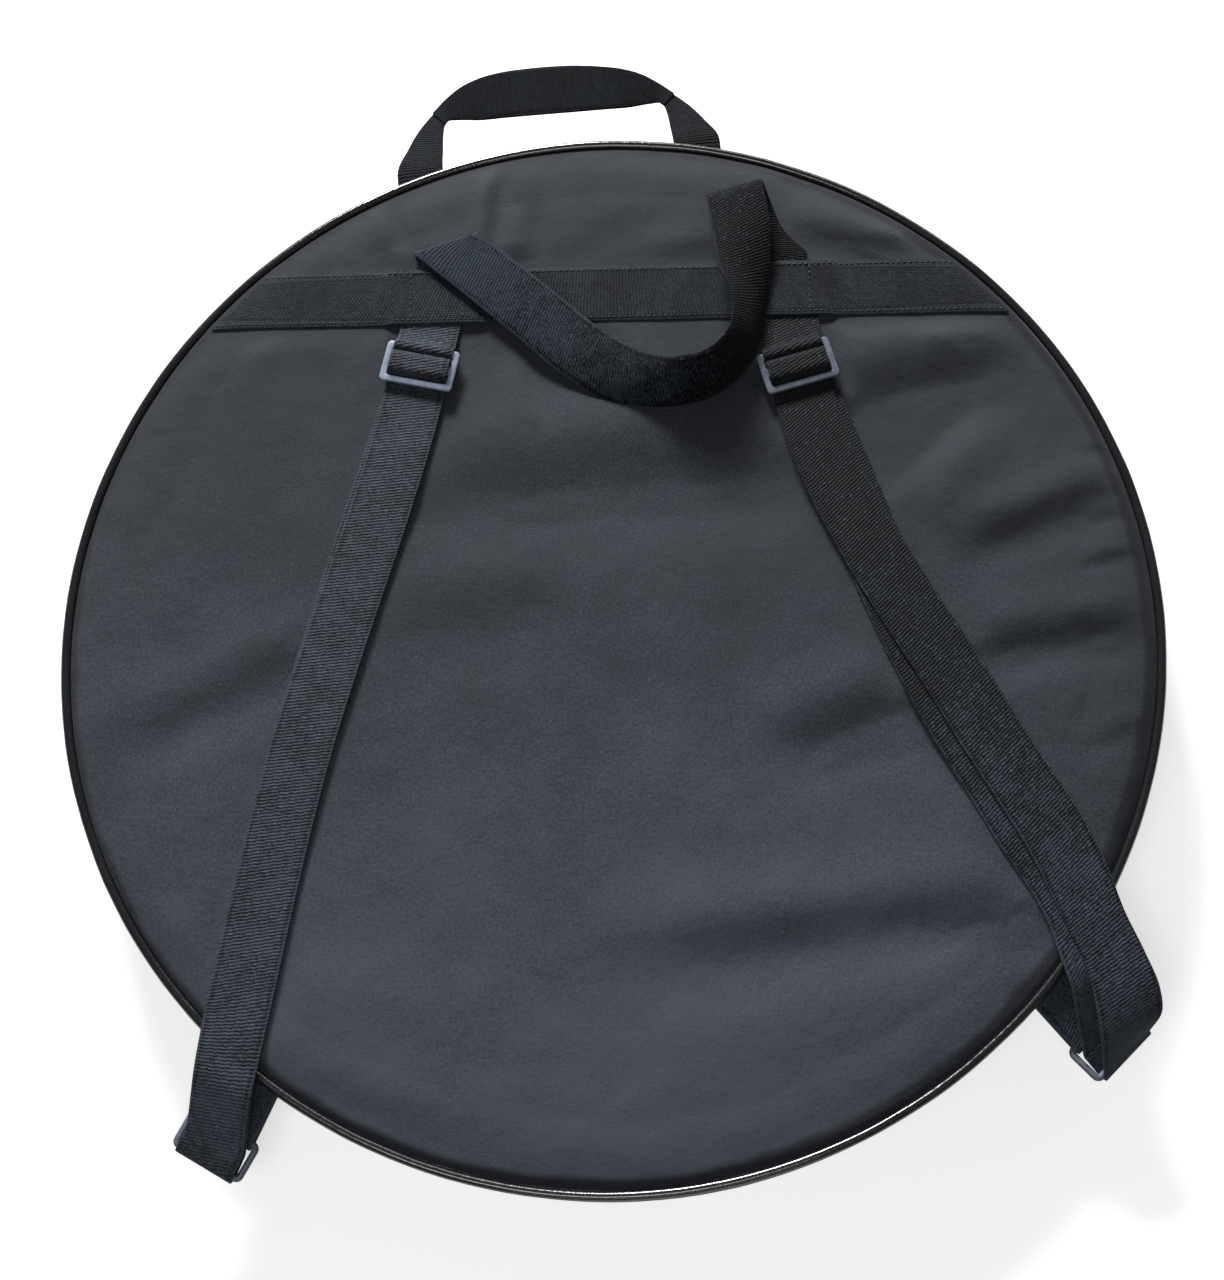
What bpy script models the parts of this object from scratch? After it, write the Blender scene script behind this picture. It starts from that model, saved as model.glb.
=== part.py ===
"""Round padded cymbal bag, lying on its front face with its back panel up. Metres, +Z up, +Y towards the
handle, origin at the centre of the front face. Two shells are joined by a gusset with a zip round it."""

from math import acos, atan2, cos, hypot, pi, radians, sin, sqrt, tan

import bmesh
import bpy
from mathutils import Matrix, Vector

# Clearances and the smoothness of round shapes
GAP = 0.0003
ROUND_STEPS = 72
TURN_STEPS = 5
CURVE_STEPS = 4
CORNER_STEPS = 2
ROLL_STEPS = 6

# The bag
RIM_RADIUS = 0.2925
PIPING_RADIUS = 0.0025
FRONT_SEAM_HEIGHT = 0.0036
GUSSET_HEIGHT = 0.0464
FACE_FABRIC = 0.001
GUSSET_FABRIC = 0.001
FACE_FOAM = 0.005
GUSSET_FOAM = 0.0042
LINING_THICKNESS = 0.0008
PANEL_PUFF = 0.004
EDGE_ROLL = 0.022
FOAM_EDGE_SHARE = 0.35
HINGE_HALF_ARC = radians(30)

# The zip
ZIP_TAPE_THICKNESS = 0.0006
ZIP_TAPE_WIDTH = 0.011
ZIP_TAPE_SHOWING = 0.0028
COIL_WIDTH = 0.00235
COIL_THICKNESS = 0.0026
FOAM_SETBACK = 0.0063
SLIDER_LENGTH = 0.0115
SLIDER_WIDTH = 0.0096
SLIDER_PLATE = 0.0014
SLIDER_SPACING = 0.0135
BRIDGE_LENGTH = 0.0072
BRIDGE_WIDTH = 0.0026
BRIDGE_ROOM = 0.0022
BRIDGE_THICKNESS = 0.0011
PULL_LENGTH = 0.026
PULL_WIDTH = 0.0066
PULL_THICKNESS = 0.0014
PULL_EYE_LENGTH = 0.0062
PULL_EYE_MARGIN = 0.0012

# Webbing, which is one stock for the straps, band, loop, tabs and handle
WEBBING_WIDTH = 0.033
WEBBING_THICKNESS = 0.0013
BAND_PLACE_SHARE = 0.66
BAND_RAMP = 0.006
BAND_RAMP_MARGIN = 0.008
BAND_END_MARGIN = 0.0035
BAND_END_STEPS = 6
BAND_END_LIFT = 0.0005
BAND_STEPS = 8

# Adjuster buckles
BUCKLE_BAR = 0.0035
BUCKLE_SLOT = 0.0065
BUCKLE_MIDDLE_BAR = 0.004
BUCKLE_THICKNESS = 0.0022
BUCKLE_SIDE = 0.0035
BUCKLE_CORNER = 0.002
SIDE_CLEARANCE = 0.0005
WEAVE_TAIL = 0.002
WEAVE_RUN = 0.0027

# Rings at the feet of the straps, and the tabs that hold them
RING_BAR_RADIUS = 0.0018
RING_PITCH = 0.018
RING_HEIGHT = 0.0365
RING_CORNER = 0.0022
TAB_LENGTH = 0.034
FOOT_RUN = 0.012
STRAP_DROP_RUN = 0.038
LOWER_DROP_EXTRA = 0.003

# Carry handle
HANDLE_PLACE = radians(95.6)
HANDLE_HALF_SPAN = 0.0935
HANDLE_REACH = 0.074
HANDLE_LEG_WIDTH = 0.0265
HANDLE_DROOP = radians(16)
HANDLE_CLEARANCE = 0.0015
HANDLE_EDGE = 0.00035
HANDLE_ROOT_CLEARANCE = 0.0009
HANDLE_OUTLINE_SHARES = ((1.0, 0.0), (0.856, 0.43), (0.674, 0.74), (0.46, 0.92), (0.16, 1.0))
HANDLE_INNER_SHARES = ((1.0, 0.0), (0.97, 0.88), (0.90, 1.0))

# Routes on the back panel, as shares of the rim's radius
LEFT_ROUTE_SHARES = ((-0.323, 0.66), (-0.350, 0.508), (-0.564, -0.321), (-0.626, -0.66))
RIGHT_ROUTE_SHARES = ((0.337, 0.66), (0.359, 0.492), (0.665, -0.195), (0.788, -0.42), (0.832, -0.53))
RIGHT_UNDER_ROUTE_SHARES = ((0.359, 0.492), (0.607, -0.16), (0.72, -0.37), (0.815, -0.56))
LEFT_TAB_PLACE, LEFT_TAB_DIRECTION = radians(-127.7), radians(-119)
RIGHT_TAB_PLACE, RIGHT_TAB_DIRECTION = radians(-39.9), radians(-46)

# The grab loop between the two strap tops. The fold is its place as shares of the rim's radius and its
# direction in half turns. Each row is the middle's place as shares of the rim's radius, its height as a share
# of the loop's rise, and the direction and the tilt of its width in half turns.
LOOP_RISE = 0.016
LOOP_BAND_MARGIN = 0.004
LOOP_FOLD_SHARES = (-0.305, 0.762, 0.102)
LOOP_SHARES = (
    (-0.255, 0.720, 0.36, 0.261, 0.0),
    (-0.137, 0.615, 0.36, 0.272, 0.0),
    (-0.034, 0.523, 0.36, 0.283, 0.033),
    (0.044, 0.466, 0.54, 0.344, 0.133),
    (0.109, 0.450, 0.79, 0.456, 0.233),
    (0.178, 0.470, 0.92, 0.622, 0.289),
    (0.222, 0.530, 0.97, 0.822, 0.300),
    (0.250, 0.615, 0.98, 0.978, 0.256),
    (0.262, 0.700, 0.95, 1.056, 0.122),
    (0.257, 0.790, 0.90, 1.089, 0.022),
    (0.248, 0.862, 0.62, 1.094, 0.0),
    (0.262, 0.815, 0.26, 1.094, 0.0),
    (0.285, 0.765, 0.10, 1.100, 0.0),
)

# Levels and radii that follow from these sizes
GUSSET_RADIUS = RIM_RADIUS - 2 * PIPING_RADIUS - GAP
FOAM_RADIUS = GUSSET_RADIUS - GUSSET_FABRIC - ZIP_TAPE_THICKNESS - 2 * GAP
TAPE_RADIUS = GUSSET_RADIUS - GUSSET_FABRIC - GAP
LINING_RADIUS = FOAM_RADIUS - GUSSET_FOAM - GAP
BACK_SEAM_HEIGHT = FRONT_SEAM_HEIGHT + GUSSET_HEIGHT
ZIP_HEIGHT = (FRONT_SEAM_HEIGHT + BACK_SEAM_HEIGHT) / 2
PANEL_TOP = BACK_SEAM_HEIGHT + PANEL_PUFF
PIPING_CENTRE = RIM_RADIUS - PIPING_RADIUS
LAYER = WEBBING_THICKNESS + GAP
FIRST_LEVEL = GAP + WEBBING_THICKNESS / 2
SECOND_LEVEL = FIRST_LEVEL + LAYER
THIRD_LEVEL = SECOND_LEVEL + LAYER
BUCKLE_LEVEL = THIRD_LEVEL + WEBBING_THICKNESS / 2 + GAP + BUCKLE_THICKNESS / 2
SLEEVE_LEVEL = BUCKLE_LEVEL + BUCKLE_THICKNESS / 2 + GAP + WEBBING_THICKNESS / 2
WEAVE_LEVEL = SLEEVE_LEVEL + LAYER
WRAP_RADIUS = RING_BAR_RADIUS + GAP + WEBBING_THICKNESS / 2
TAB_TOP = BACK_SEAM_HEIGHT - PIPING_RADIUS - GAP - WEBBING_THICKNESS / 2
HINGE_START = -pi / 2 + HINGE_HALF_ARC
ZIP_ARC = 2 * pi - 2 * HINGE_HALF_ARC
HANDLE_INNER_SPAN = HANDLE_HALF_SPAN - HANDLE_LEG_WIDTH
HANDLE_AXIS_RADIUS = sqrt(RIM_RADIUS**2 - HANDLE_INNER_SPAN**2) + HANDLE_CLEARANCE

COLOURS = {
    "shell_fabric": ((0.020, 0.022, 0.028), 0.85, 0.0),
    "lining": ((0.030, 0.032, 0.036), 0.70, 0.0),
    "foam": ((0.10, 0.10, 0.11), 0.95, 0.0),
    "piping": ((0.006, 0.007, 0.009), 0.25, 0.0),
    "webbing": ((0.014, 0.015, 0.019), 0.80, 0.0),
    "zip_tape": ((0.012, 0.012, 0.014), 0.85, 0.0),
    "zip_coil": ((0.010, 0.010, 0.012), 0.45, 0.0),
    "buckle_plastic": ((0.045, 0.048, 0.054), 0.45, 0.0),
    "ring_plastic": ((0.10, 0.105, 0.11), 0.40, 0.0),
    "slider_metal": ((0.05, 0.05, 0.055), 0.35, 0.9),
}


def clear_scene():
    """Empty the file of the objects that it opens with."""
    for obj in list(bpy.data.objects):
        bpy.data.objects.remove(obj, do_unlink=True)


def make_collection(name):
    """A new collection in the scene."""
    collection = bpy.data.collections.new(name)
    bpy.context.scene.collection.children.link(collection)
    return collection


def make_material(name):
    """A plain Principled material from the table of colours."""
    colour, roughness, metallic = COLOURS[name]
    material = bpy.data.materials.new(name)
    material.use_nodes = True
    shader = material.node_tree.nodes["Principled BSDF"]
    shader.inputs["Base Color"].default_value = (*colour, 1.0)
    shader.inputs["Roughness"].default_value = roughness
    shader.inputs["Metallic"].default_value = metallic
    return material


class Bag:
    """Holds the collections and the materials, and adds each piece to them."""

    def __init__(self):
        self.collection = make_collection("cymbal_bag")
        self.cutters = make_collection("cutters")
        self.materials = {name: make_material(name) for name in COLOURS}

    def add(self, name, data, finish):
        """Link a mesh or a curve as a named piece with its finish."""
        obj = bpy.data.objects.new(name, data)
        data.materials.append(self.materials[finish])
        self.collection.objects.link(obj)
        return obj

    def helper(self, name, data):
        """Link a solid that only cuts or joins others."""
        obj = bpy.data.objects.new(name, data)
        obj.hide_render = True
        obj.display_type = "WIRE"
        self.cutters.objects.link(obj)
        return obj

    def empty(self, name, place):
        """A helper that marks a joint's axis and carries what moves about it."""
        obj = bpy.data.objects.new(name, None)
        obj.location = place
        self.collection.objects.link(obj)
        return obj


def carry(parent, *pieces):
    """Parent pieces to a helper and leave them where they are."""
    bpy.context.view_layer.update()
    for piece in pieces:
        piece.parent = parent
        piece.matrix_parent_inverse = parent.matrix_world.inverted()


def polar(radius, angle, height=0.0):
    """A point from its distance from the bag's axis, its angle and its height."""
    return Vector((radius * cos(angle), radius * sin(angle), height))


def panel_height(radius):
    """The height of the back panel's top, which is level and rolls over at its edge."""
    share = (radius - (GUSSET_RADIUS - EDGE_ROLL)) / EDGE_ROLL
    share = min(max(share, 0.0), 1.0)
    return BACK_SEAM_HEIGHT + PANEL_PUFF * sqrt(1.0 - share * share)


def line_mesh(name, points, closed=False):
    """A mesh that is one line of edges, the profile of a turned piece."""
    edges = [(i, i + 1) for i in range(len(points) - 1)]
    if closed:
        edges.append((len(points) - 1, 0))
    mesh = bpy.data.meshes.new(name)
    mesh.from_pydata(points, edges, [])
    return mesh


def turn(obj, angle=2 * pi, steps=ROUND_STEPS):
    """Turn a profile about the bag's axis."""
    screw = obj.modifiers.new("turn", "SCREW")
    screw.angle = angle
    screw.steps = steps
    screw.render_steps = steps
    screw.use_merge_vertices = True
    screw.merge_threshold = GAP / 10
    screw.use_smooth_shade = True
    return screw


def thicken(obj, thickness, offset=0.0):
    """Give an open surface its wall."""
    solid = obj.modifiers.new("wall", "SOLIDIFY")
    solid.thickness = thickness
    solid.offset = offset
    solid.use_even_offset = True
    return solid


def ring_wall(bag, name, finish, outer_radius, thickness, low, high, start=0.0, arc=2 * pi):
    """A strip that stands round the bag, over the whole turn or an arc of it."""
    radius = outer_radius - thickness / 2
    mesh = line_mesh(name, [(radius, 0, high), (radius, 0, low)])
    obj = bag.add(name, mesh, finish)
    obj.rotation_euler = (0, 0, start)
    turn(obj, arc, round(ROUND_STEPS * arc / (2 * pi)))
    thicken(obj, thickness)
    return obj


def disc(bag, name, finish, radius, low, high):
    """A flat round sheet of foam."""
    mesh = bpy.data.meshes.new(name)
    shape = bmesh.new()
    bmesh.ops.create_cone(
        shape, cap_ends=True, segments=ROUND_STEPS, radius1=radius, radius2=radius, depth=high - low
    )
    shape.to_mesh(mesh)
    shape.free()
    obj = bag.add(name, mesh, finish)
    obj.location = (0, 0, (low + high) / 2)
    return obj


def piping(bag, name, height):
    """The round cord that is sewn into a seam."""
    bpy.ops.mesh.primitive_torus_add(
        major_radius=PIPING_CENTRE,
        minor_radius=PIPING_RADIUS,
        major_segments=ROUND_STEPS,
        minor_segments=8,
        location=(0, 0, height),
    )
    obj = bpy.context.object
    for owner in list(obj.users_collection):
        owner.objects.unlink(obj)
    bag.collection.objects.link(obj)
    obj.name = name
    obj.data.materials.append(bag.materials["piping"])
    obj.data.shade_smooth()
    return obj


def turned_sheet(bag, name, finish, profile, thickness, offset):
    """A turned skin: a profile line from the rim to the axis, with a wall."""
    mesh = line_mesh(name, [(radius, 0, height) for radius, height in profile])
    obj = bag.add(name, mesh, finish)
    turn(obj)
    thicken(obj, thickness, offset)
    return obj


def ribbon(bag, name, finish, stations, thickness=WEBBING_THICKNESS, cyclic=False):
    """A length of webbing: a loft through pairs of edge points, with a wall."""
    points = [point for pair in stations for point in pair]
    count = len(stations)
    last = count if cyclic else count - 1
    faces = []
    for i in range(last):
        here, there = 2 * i, 2 * ((i + 1) % count)
        faces.append((here, here + 1, there + 1, there))
    mesh = bpy.data.meshes.new(name)
    mesh.from_pydata(points, [], faces)
    obj = bag.add(name, mesh, finish)
    thicken(obj, thickness)
    return obj


def smooth_points(points, steps=CURVE_STEPS):
    """Points on a smooth curve through the given ones, which it passes through at an even speed."""
    runs = [there - here for here, there in zip(points, points[1:])]
    slopes = [runs[0].normalized()]
    for before, after in zip(runs, runs[1:]):
        spans = before.length + after.length
        turned_to = after.normalized() * (before.length / spans)
        slopes.append(before.normalized() * (after.length / spans) + turned_to)
    slopes.append(runs[-1].normalized())
    found = []
    for here, run, leave, arrive in zip(points, runs, slopes, slopes[1:]):
        for k in range(steps):
            t = k / steps
            eased = t * t * (3 - 2 * t)
            bend = leave * (t * (1 - t) * (1 - t)) - arrive * (t * t * (1 - t))
            found.append(here + run * eased + bend * run.length)
    found.append(points[-1])
    return found


def flat_outline(bag, name, finish, loops, thickness):
    """A flat plate from its outline and its holes, on the object's own XY plane."""
    curve = bpy.data.curves.new(name, "CURVE")
    curve.dimensions = "2D"
    curve.fill_mode = "BOTH"
    curve.extrude = thickness / 2
    for loop in loops:
        spline = curve.splines.new("POLY")
        spline.points.add(len(loop) - 1)
        for point, (x, y) in zip(spline.points, loop):
            point.co = (x, y, 0, 1)
        spline.use_cyclic_u = True
    return bag.add(name, curve, finish)


def rounded_box(width, height, corner, centre=0.0):
    """The outline of a rectangle with round corners, centred on X and at a height on Y."""
    points = []
    for quarter, (sx, sy) in enumerate(((1, 1), (-1, 1), (-1, -1), (1, -1))):
        for k in range(CORNER_STEPS + 1):
            angle = pi / 2 * (quarter + k / CORNER_STEPS)
            x = sx * (width / 2 - corner) + corner * cos(angle)
            y = centre + sy * (height / 2 - corner) + corner * sin(angle)
            points.append((x, y))
    return points


def share_points(shares):
    """Places on the plan from shares of the rim's radius."""
    return [Vector((x * RIM_RADIUS, y * RIM_RADIUS, 0)) for x, y in shares]


def block(shape, size, centre):
    """Add a box to a bmesh by its size and centre."""
    matrix = Matrix.Translation(centre) @ Matrix.Diagonal((*size, 1.0))
    bmesh.ops.create_cube(shape, size=1.0, matrix=matrix)


def build_front_shell(bag):
    """The lower half: front face, its foam and lining, and the gusset up to the zip."""
    face = disc(bag, "front_panel", "shell_fabric", GUSSET_RADIUS, 0.0, FACE_FABRIC)
    foam_low = FACE_FABRIC + GAP
    foam_high = foam_low + FACE_FOAM
    foam = disc(bag, "front_padding", "foam", FOAM_RADIUS, foam_low, foam_high)
    cord = piping(bag, "front_piping", FRONT_SEAM_HEIGHT)
    foam_edge = ZIP_HEIGHT - FOAM_SETBACK
    lining = turned_sheet(
        bag,
        "front_lining",
        "lining",
        [(LINING_RADIUS, foam_edge), (LINING_RADIUS, foam_high + GAP), (0, foam_high + GAP)],
        LINING_THICKNESS,
        -1.0,
    )
    side_foam = ring_wall(
        bag, "front_gusset_padding", "foam", FOAM_RADIUS, GUSSET_FOAM, foam_high + GAP, foam_edge
    )
    tape_high = ZIP_HEIGHT - GAP / 2 - COIL_WIDTH - GAP
    strip_high = tape_high - ZIP_TAPE_SHOWING
    strip = ring_wall(
        bag,
        "front_gusset",
        "shell_fabric",
        GUSSET_RADIUS,
        GUSSET_FABRIC,
        FACE_FABRIC + GAP,
        strip_high,
        HINGE_START,
        ZIP_ARC,
    )
    tape = ring_wall(
        bag,
        "front_zip_tape",
        "zip_tape",
        TAPE_RADIUS,
        ZIP_TAPE_THICKNESS,
        tape_high - ZIP_TAPE_WIDTH,
        tape_high,
        HINGE_START,
        ZIP_ARC,
    )
    coil = ring_wall(
        bag,
        "front_zip_coil",
        "zip_coil",
        TAPE_RADIUS + COIL_THICKNESS / 2,
        COIL_THICKNESS,
        tape_high + GAP,
        ZIP_HEIGHT - GAP / 2,
        HINGE_START,
        ZIP_ARC,
    )
    hinge = ring_wall(
        bag,
        "hinge_gusset",
        "shell_fabric",
        GUSSET_RADIUS,
        GUSSET_FABRIC,
        FACE_FABRIC + GAP,
        BACK_SEAM_HEIGHT - FACE_FABRIC - GAP,
        -pi / 2 - HINGE_HALF_ARC + GAP / GUSSET_RADIUS,
        2 * HINGE_HALF_ARC - 2 * GAP / GUSSET_RADIUS,
    )
    return [face, foam, cord, lining, side_foam, strip, tape, coil, hinge]


def turned_solid(bag, name, finish, profile):
    """A turned solid from its outer line, which runs from the axis over the rim and back to the axis."""
    mesh = line_mesh(name, [(radius, 0, height) for radius, height in profile])
    obj = bag.add(name, mesh, finish)
    turn(obj)
    return obj


def build_back_shell(bag):
    """The upper half: back panel, its foam and lining, and the gusset down to the zip."""
    flat_radius = GUSSET_RADIUS - EDGE_ROLL
    profile = [(0, PANEL_TOP)]
    for k in range(ROLL_STEPS + 1):
        turned = pi / 2 * k / ROLL_STEPS
        profile.append((flat_radius + EDGE_ROLL * sin(turned), BACK_SEAM_HEIGHT + PANEL_PUFF * cos(turned)))
    face = turned_sheet(bag, "back_panel", "shell_fabric", profile, FACE_FABRIC, -1.0)

    foam_high = PANEL_TOP - FACE_FABRIC - GAP
    foam_low = foam_high - FACE_FOAM
    edge_radius = GUSSET_RADIUS - EDGE_ROLL * FOAM_EDGE_SHARE
    edge_high = panel_height(edge_radius) - FACE_FABRIC - 2 * GAP
    foam_line = [(0, foam_high), (flat_radius, foam_high), (edge_radius, edge_high), (edge_radius, foam_low)]
    foam = turned_solid(bag, "back_padding", "foam", foam_line + [(0, foam_low)])
    cord = piping(bag, "back_piping", BACK_SEAM_HEIGHT)
    foam_edge = ZIP_HEIGHT + FOAM_SETBACK
    ceiling = foam_low - GAP
    lining = turned_sheet(
        bag,
        "back_lining",
        "lining",
        [(0, ceiling), (LINING_RADIUS, ceiling), (LINING_RADIUS, foam_edge)],
        LINING_THICKNESS,
        -1.0,
    )
    side_foam = ring_wall(
        bag, "back_gusset_padding", "foam", FOAM_RADIUS, GUSSET_FOAM, foam_edge, foam_low - GAP
    )
    tape_low = ZIP_HEIGHT + GAP / 2 + COIL_WIDTH + GAP
    strip = ring_wall(
        bag,
        "back_gusset",
        "shell_fabric",
        GUSSET_RADIUS,
        GUSSET_FABRIC,
        tape_low + ZIP_TAPE_SHOWING,
        BACK_SEAM_HEIGHT - FACE_FABRIC - GAP,
        HINGE_START,
        ZIP_ARC,
    )
    tape = ring_wall(
        bag,
        "back_zip_tape",
        "zip_tape",
        TAPE_RADIUS,
        ZIP_TAPE_THICKNESS,
        tape_low,
        tape_low + ZIP_TAPE_WIDTH,
        HINGE_START,
        ZIP_ARC,
    )
    coil = ring_wall(
        bag,
        "back_zip_coil",
        "zip_coil",
        TAPE_RADIUS + COIL_THICKNESS / 2,
        COIL_THICKNESS,
        ZIP_HEIGHT + GAP / 2,
        tape_low - GAP,
        HINGE_START,
        ZIP_ARC,
    )
    return [face, foam, cord, lining, side_foam, strip, tape, coil]


def new_mesh(name, shape):
    """A mesh from a bmesh, which is freed."""
    mesh = bpy.data.meshes.new(name)
    shape.to_mesh(mesh)
    shape.free()
    return mesh


def combine(obj, other, operation):
    """Join a second solid to a piece, or cut it away."""
    boolean = obj.modifiers.new(operation.lower(), "BOOLEAN")
    boolean.operation = operation
    boolean.solver = "EXACT"
    boolean.object = other


def build_slider(bag, side, sign):
    """A zip slider that straddles the coils, its bridge, and the pull that hangs on the bridge."""
    place = HANDLE_PLACE + sign * SLIDER_SPACING / 2 / GUSSET_RADIUS
    coil_outer = TAPE_RADIUS + COIL_THICKNESS / 2
    coil_inner = (coil_outer - COIL_THICKNESS) * cos(pi / ROUND_STEPS)
    plate_high = coil_outer + GAP + SLIDER_PLATE
    inner_high = coil_inner - GAP - SLIDER_LENGTH**2 / 8 / coil_inner
    bridge_low = plate_high - SLIDER_PLATE / 2
    tunnel_high = plate_high + BRIDGE_ROOM
    bridge_high = tunnel_high + BRIDGE_THICKNESS

    plate = (SLIDER_LENGTH, SLIDER_PLATE, SLIDER_WIDTH)
    plates = []
    for name, high in (("_zip_slider", plate_high), ("_slider_inner_plate", inner_high)):
        shape = bmesh.new()
        block(shape, plate, (0, high - SLIDER_PLATE / 2, 0))
        plates.append(bag.add(side + name, new_mesh(side + name, shape), "slider_metal"))
    slider, inner_plate = plates
    shape = bmesh.new()
    bridge_size = (BRIDGE_LENGTH, bridge_high - bridge_low, BRIDGE_WIDTH)
    block(shape, bridge_size, (0, (bridge_low + bridge_high) / 2, 0))
    bridge = bag.helper(side + "_bridge", new_mesh(side + "_bridge", shape))
    shape = bmesh.new()
    tunnel_low = bridge_low - BRIDGE_ROOM
    tunnel = (BRIDGE_LENGTH - 2 * BRIDGE_THICKNESS, tunnel_high - tunnel_low, 2 * BRIDGE_WIDTH)
    block(shape, tunnel, (0, (tunnel_low + tunnel_high) / 2, 0))
    hole = bag.helper(side + "_tunnel", new_mesh(side + "_tunnel", shape))
    for obj in (slider, inner_plate, bridge, hole):
        obj.rotation_euler = (0, 0, place - pi / 2)
        obj.location = (0, 0, ZIP_HEIGHT)
    combine(bridge, hole, "DIFFERENCE")
    combine(slider, bridge, "UNION")

    bar = PULL_EYE_MARGIN / 2
    outline = rounded_box(PULL_WIDTH, PULL_LENGTH, PULL_WIDTH / 4, PULL_LENGTH / 2 - bar)
    half = BRIDGE_WIDTH / 2 + GAP
    eye = [(-half, bar), (half, bar), (half, bar + PULL_EYE_LENGTH), (-half, bar + PULL_EYE_LENGTH)]
    pull = flat_outline(bag, side + "_zip_pull", "slider_metal", [outline, eye], PULL_THICKNESS)
    along = Vector((-sin(place), cos(place), 0)) * sign
    up = Vector((0, 0, 1))
    pivot = polar(plate_high + BRIDGE_ROOM / 2, place, ZIP_HEIGHT)
    set_frame(pull, up, along, pivot)
    return plates, pull, pivot


def set_frame(obj, x_axis, y_axis, place):
    """Stand an object on its own X and Y directions at a place."""
    turned = Matrix((x_axis, y_axis, x_axis.cross(y_axis))).transposed()
    obj.matrix_world = Matrix.Translation(place) @ turned.to_4x4()


def across(direction):
    """The level direction square to a level direction, on its left."""
    return Vector((-direction.y, direction.x, 0)).normalized()


def edges(point, direction, half=WEBBING_WIDTH / 2):
    """The two edge points of webbing about a point of its middle line."""
    return point - direction * half, point + direction * half


def wrap_angle(run, rise, sign):
    """Where a straight layer, from a run inward of a bar and a rise above it, meets the turn round it."""
    return pi - atan2(rise, run) - sign * acos(WRAP_RADIUS / hypot(run, rise))


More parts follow.
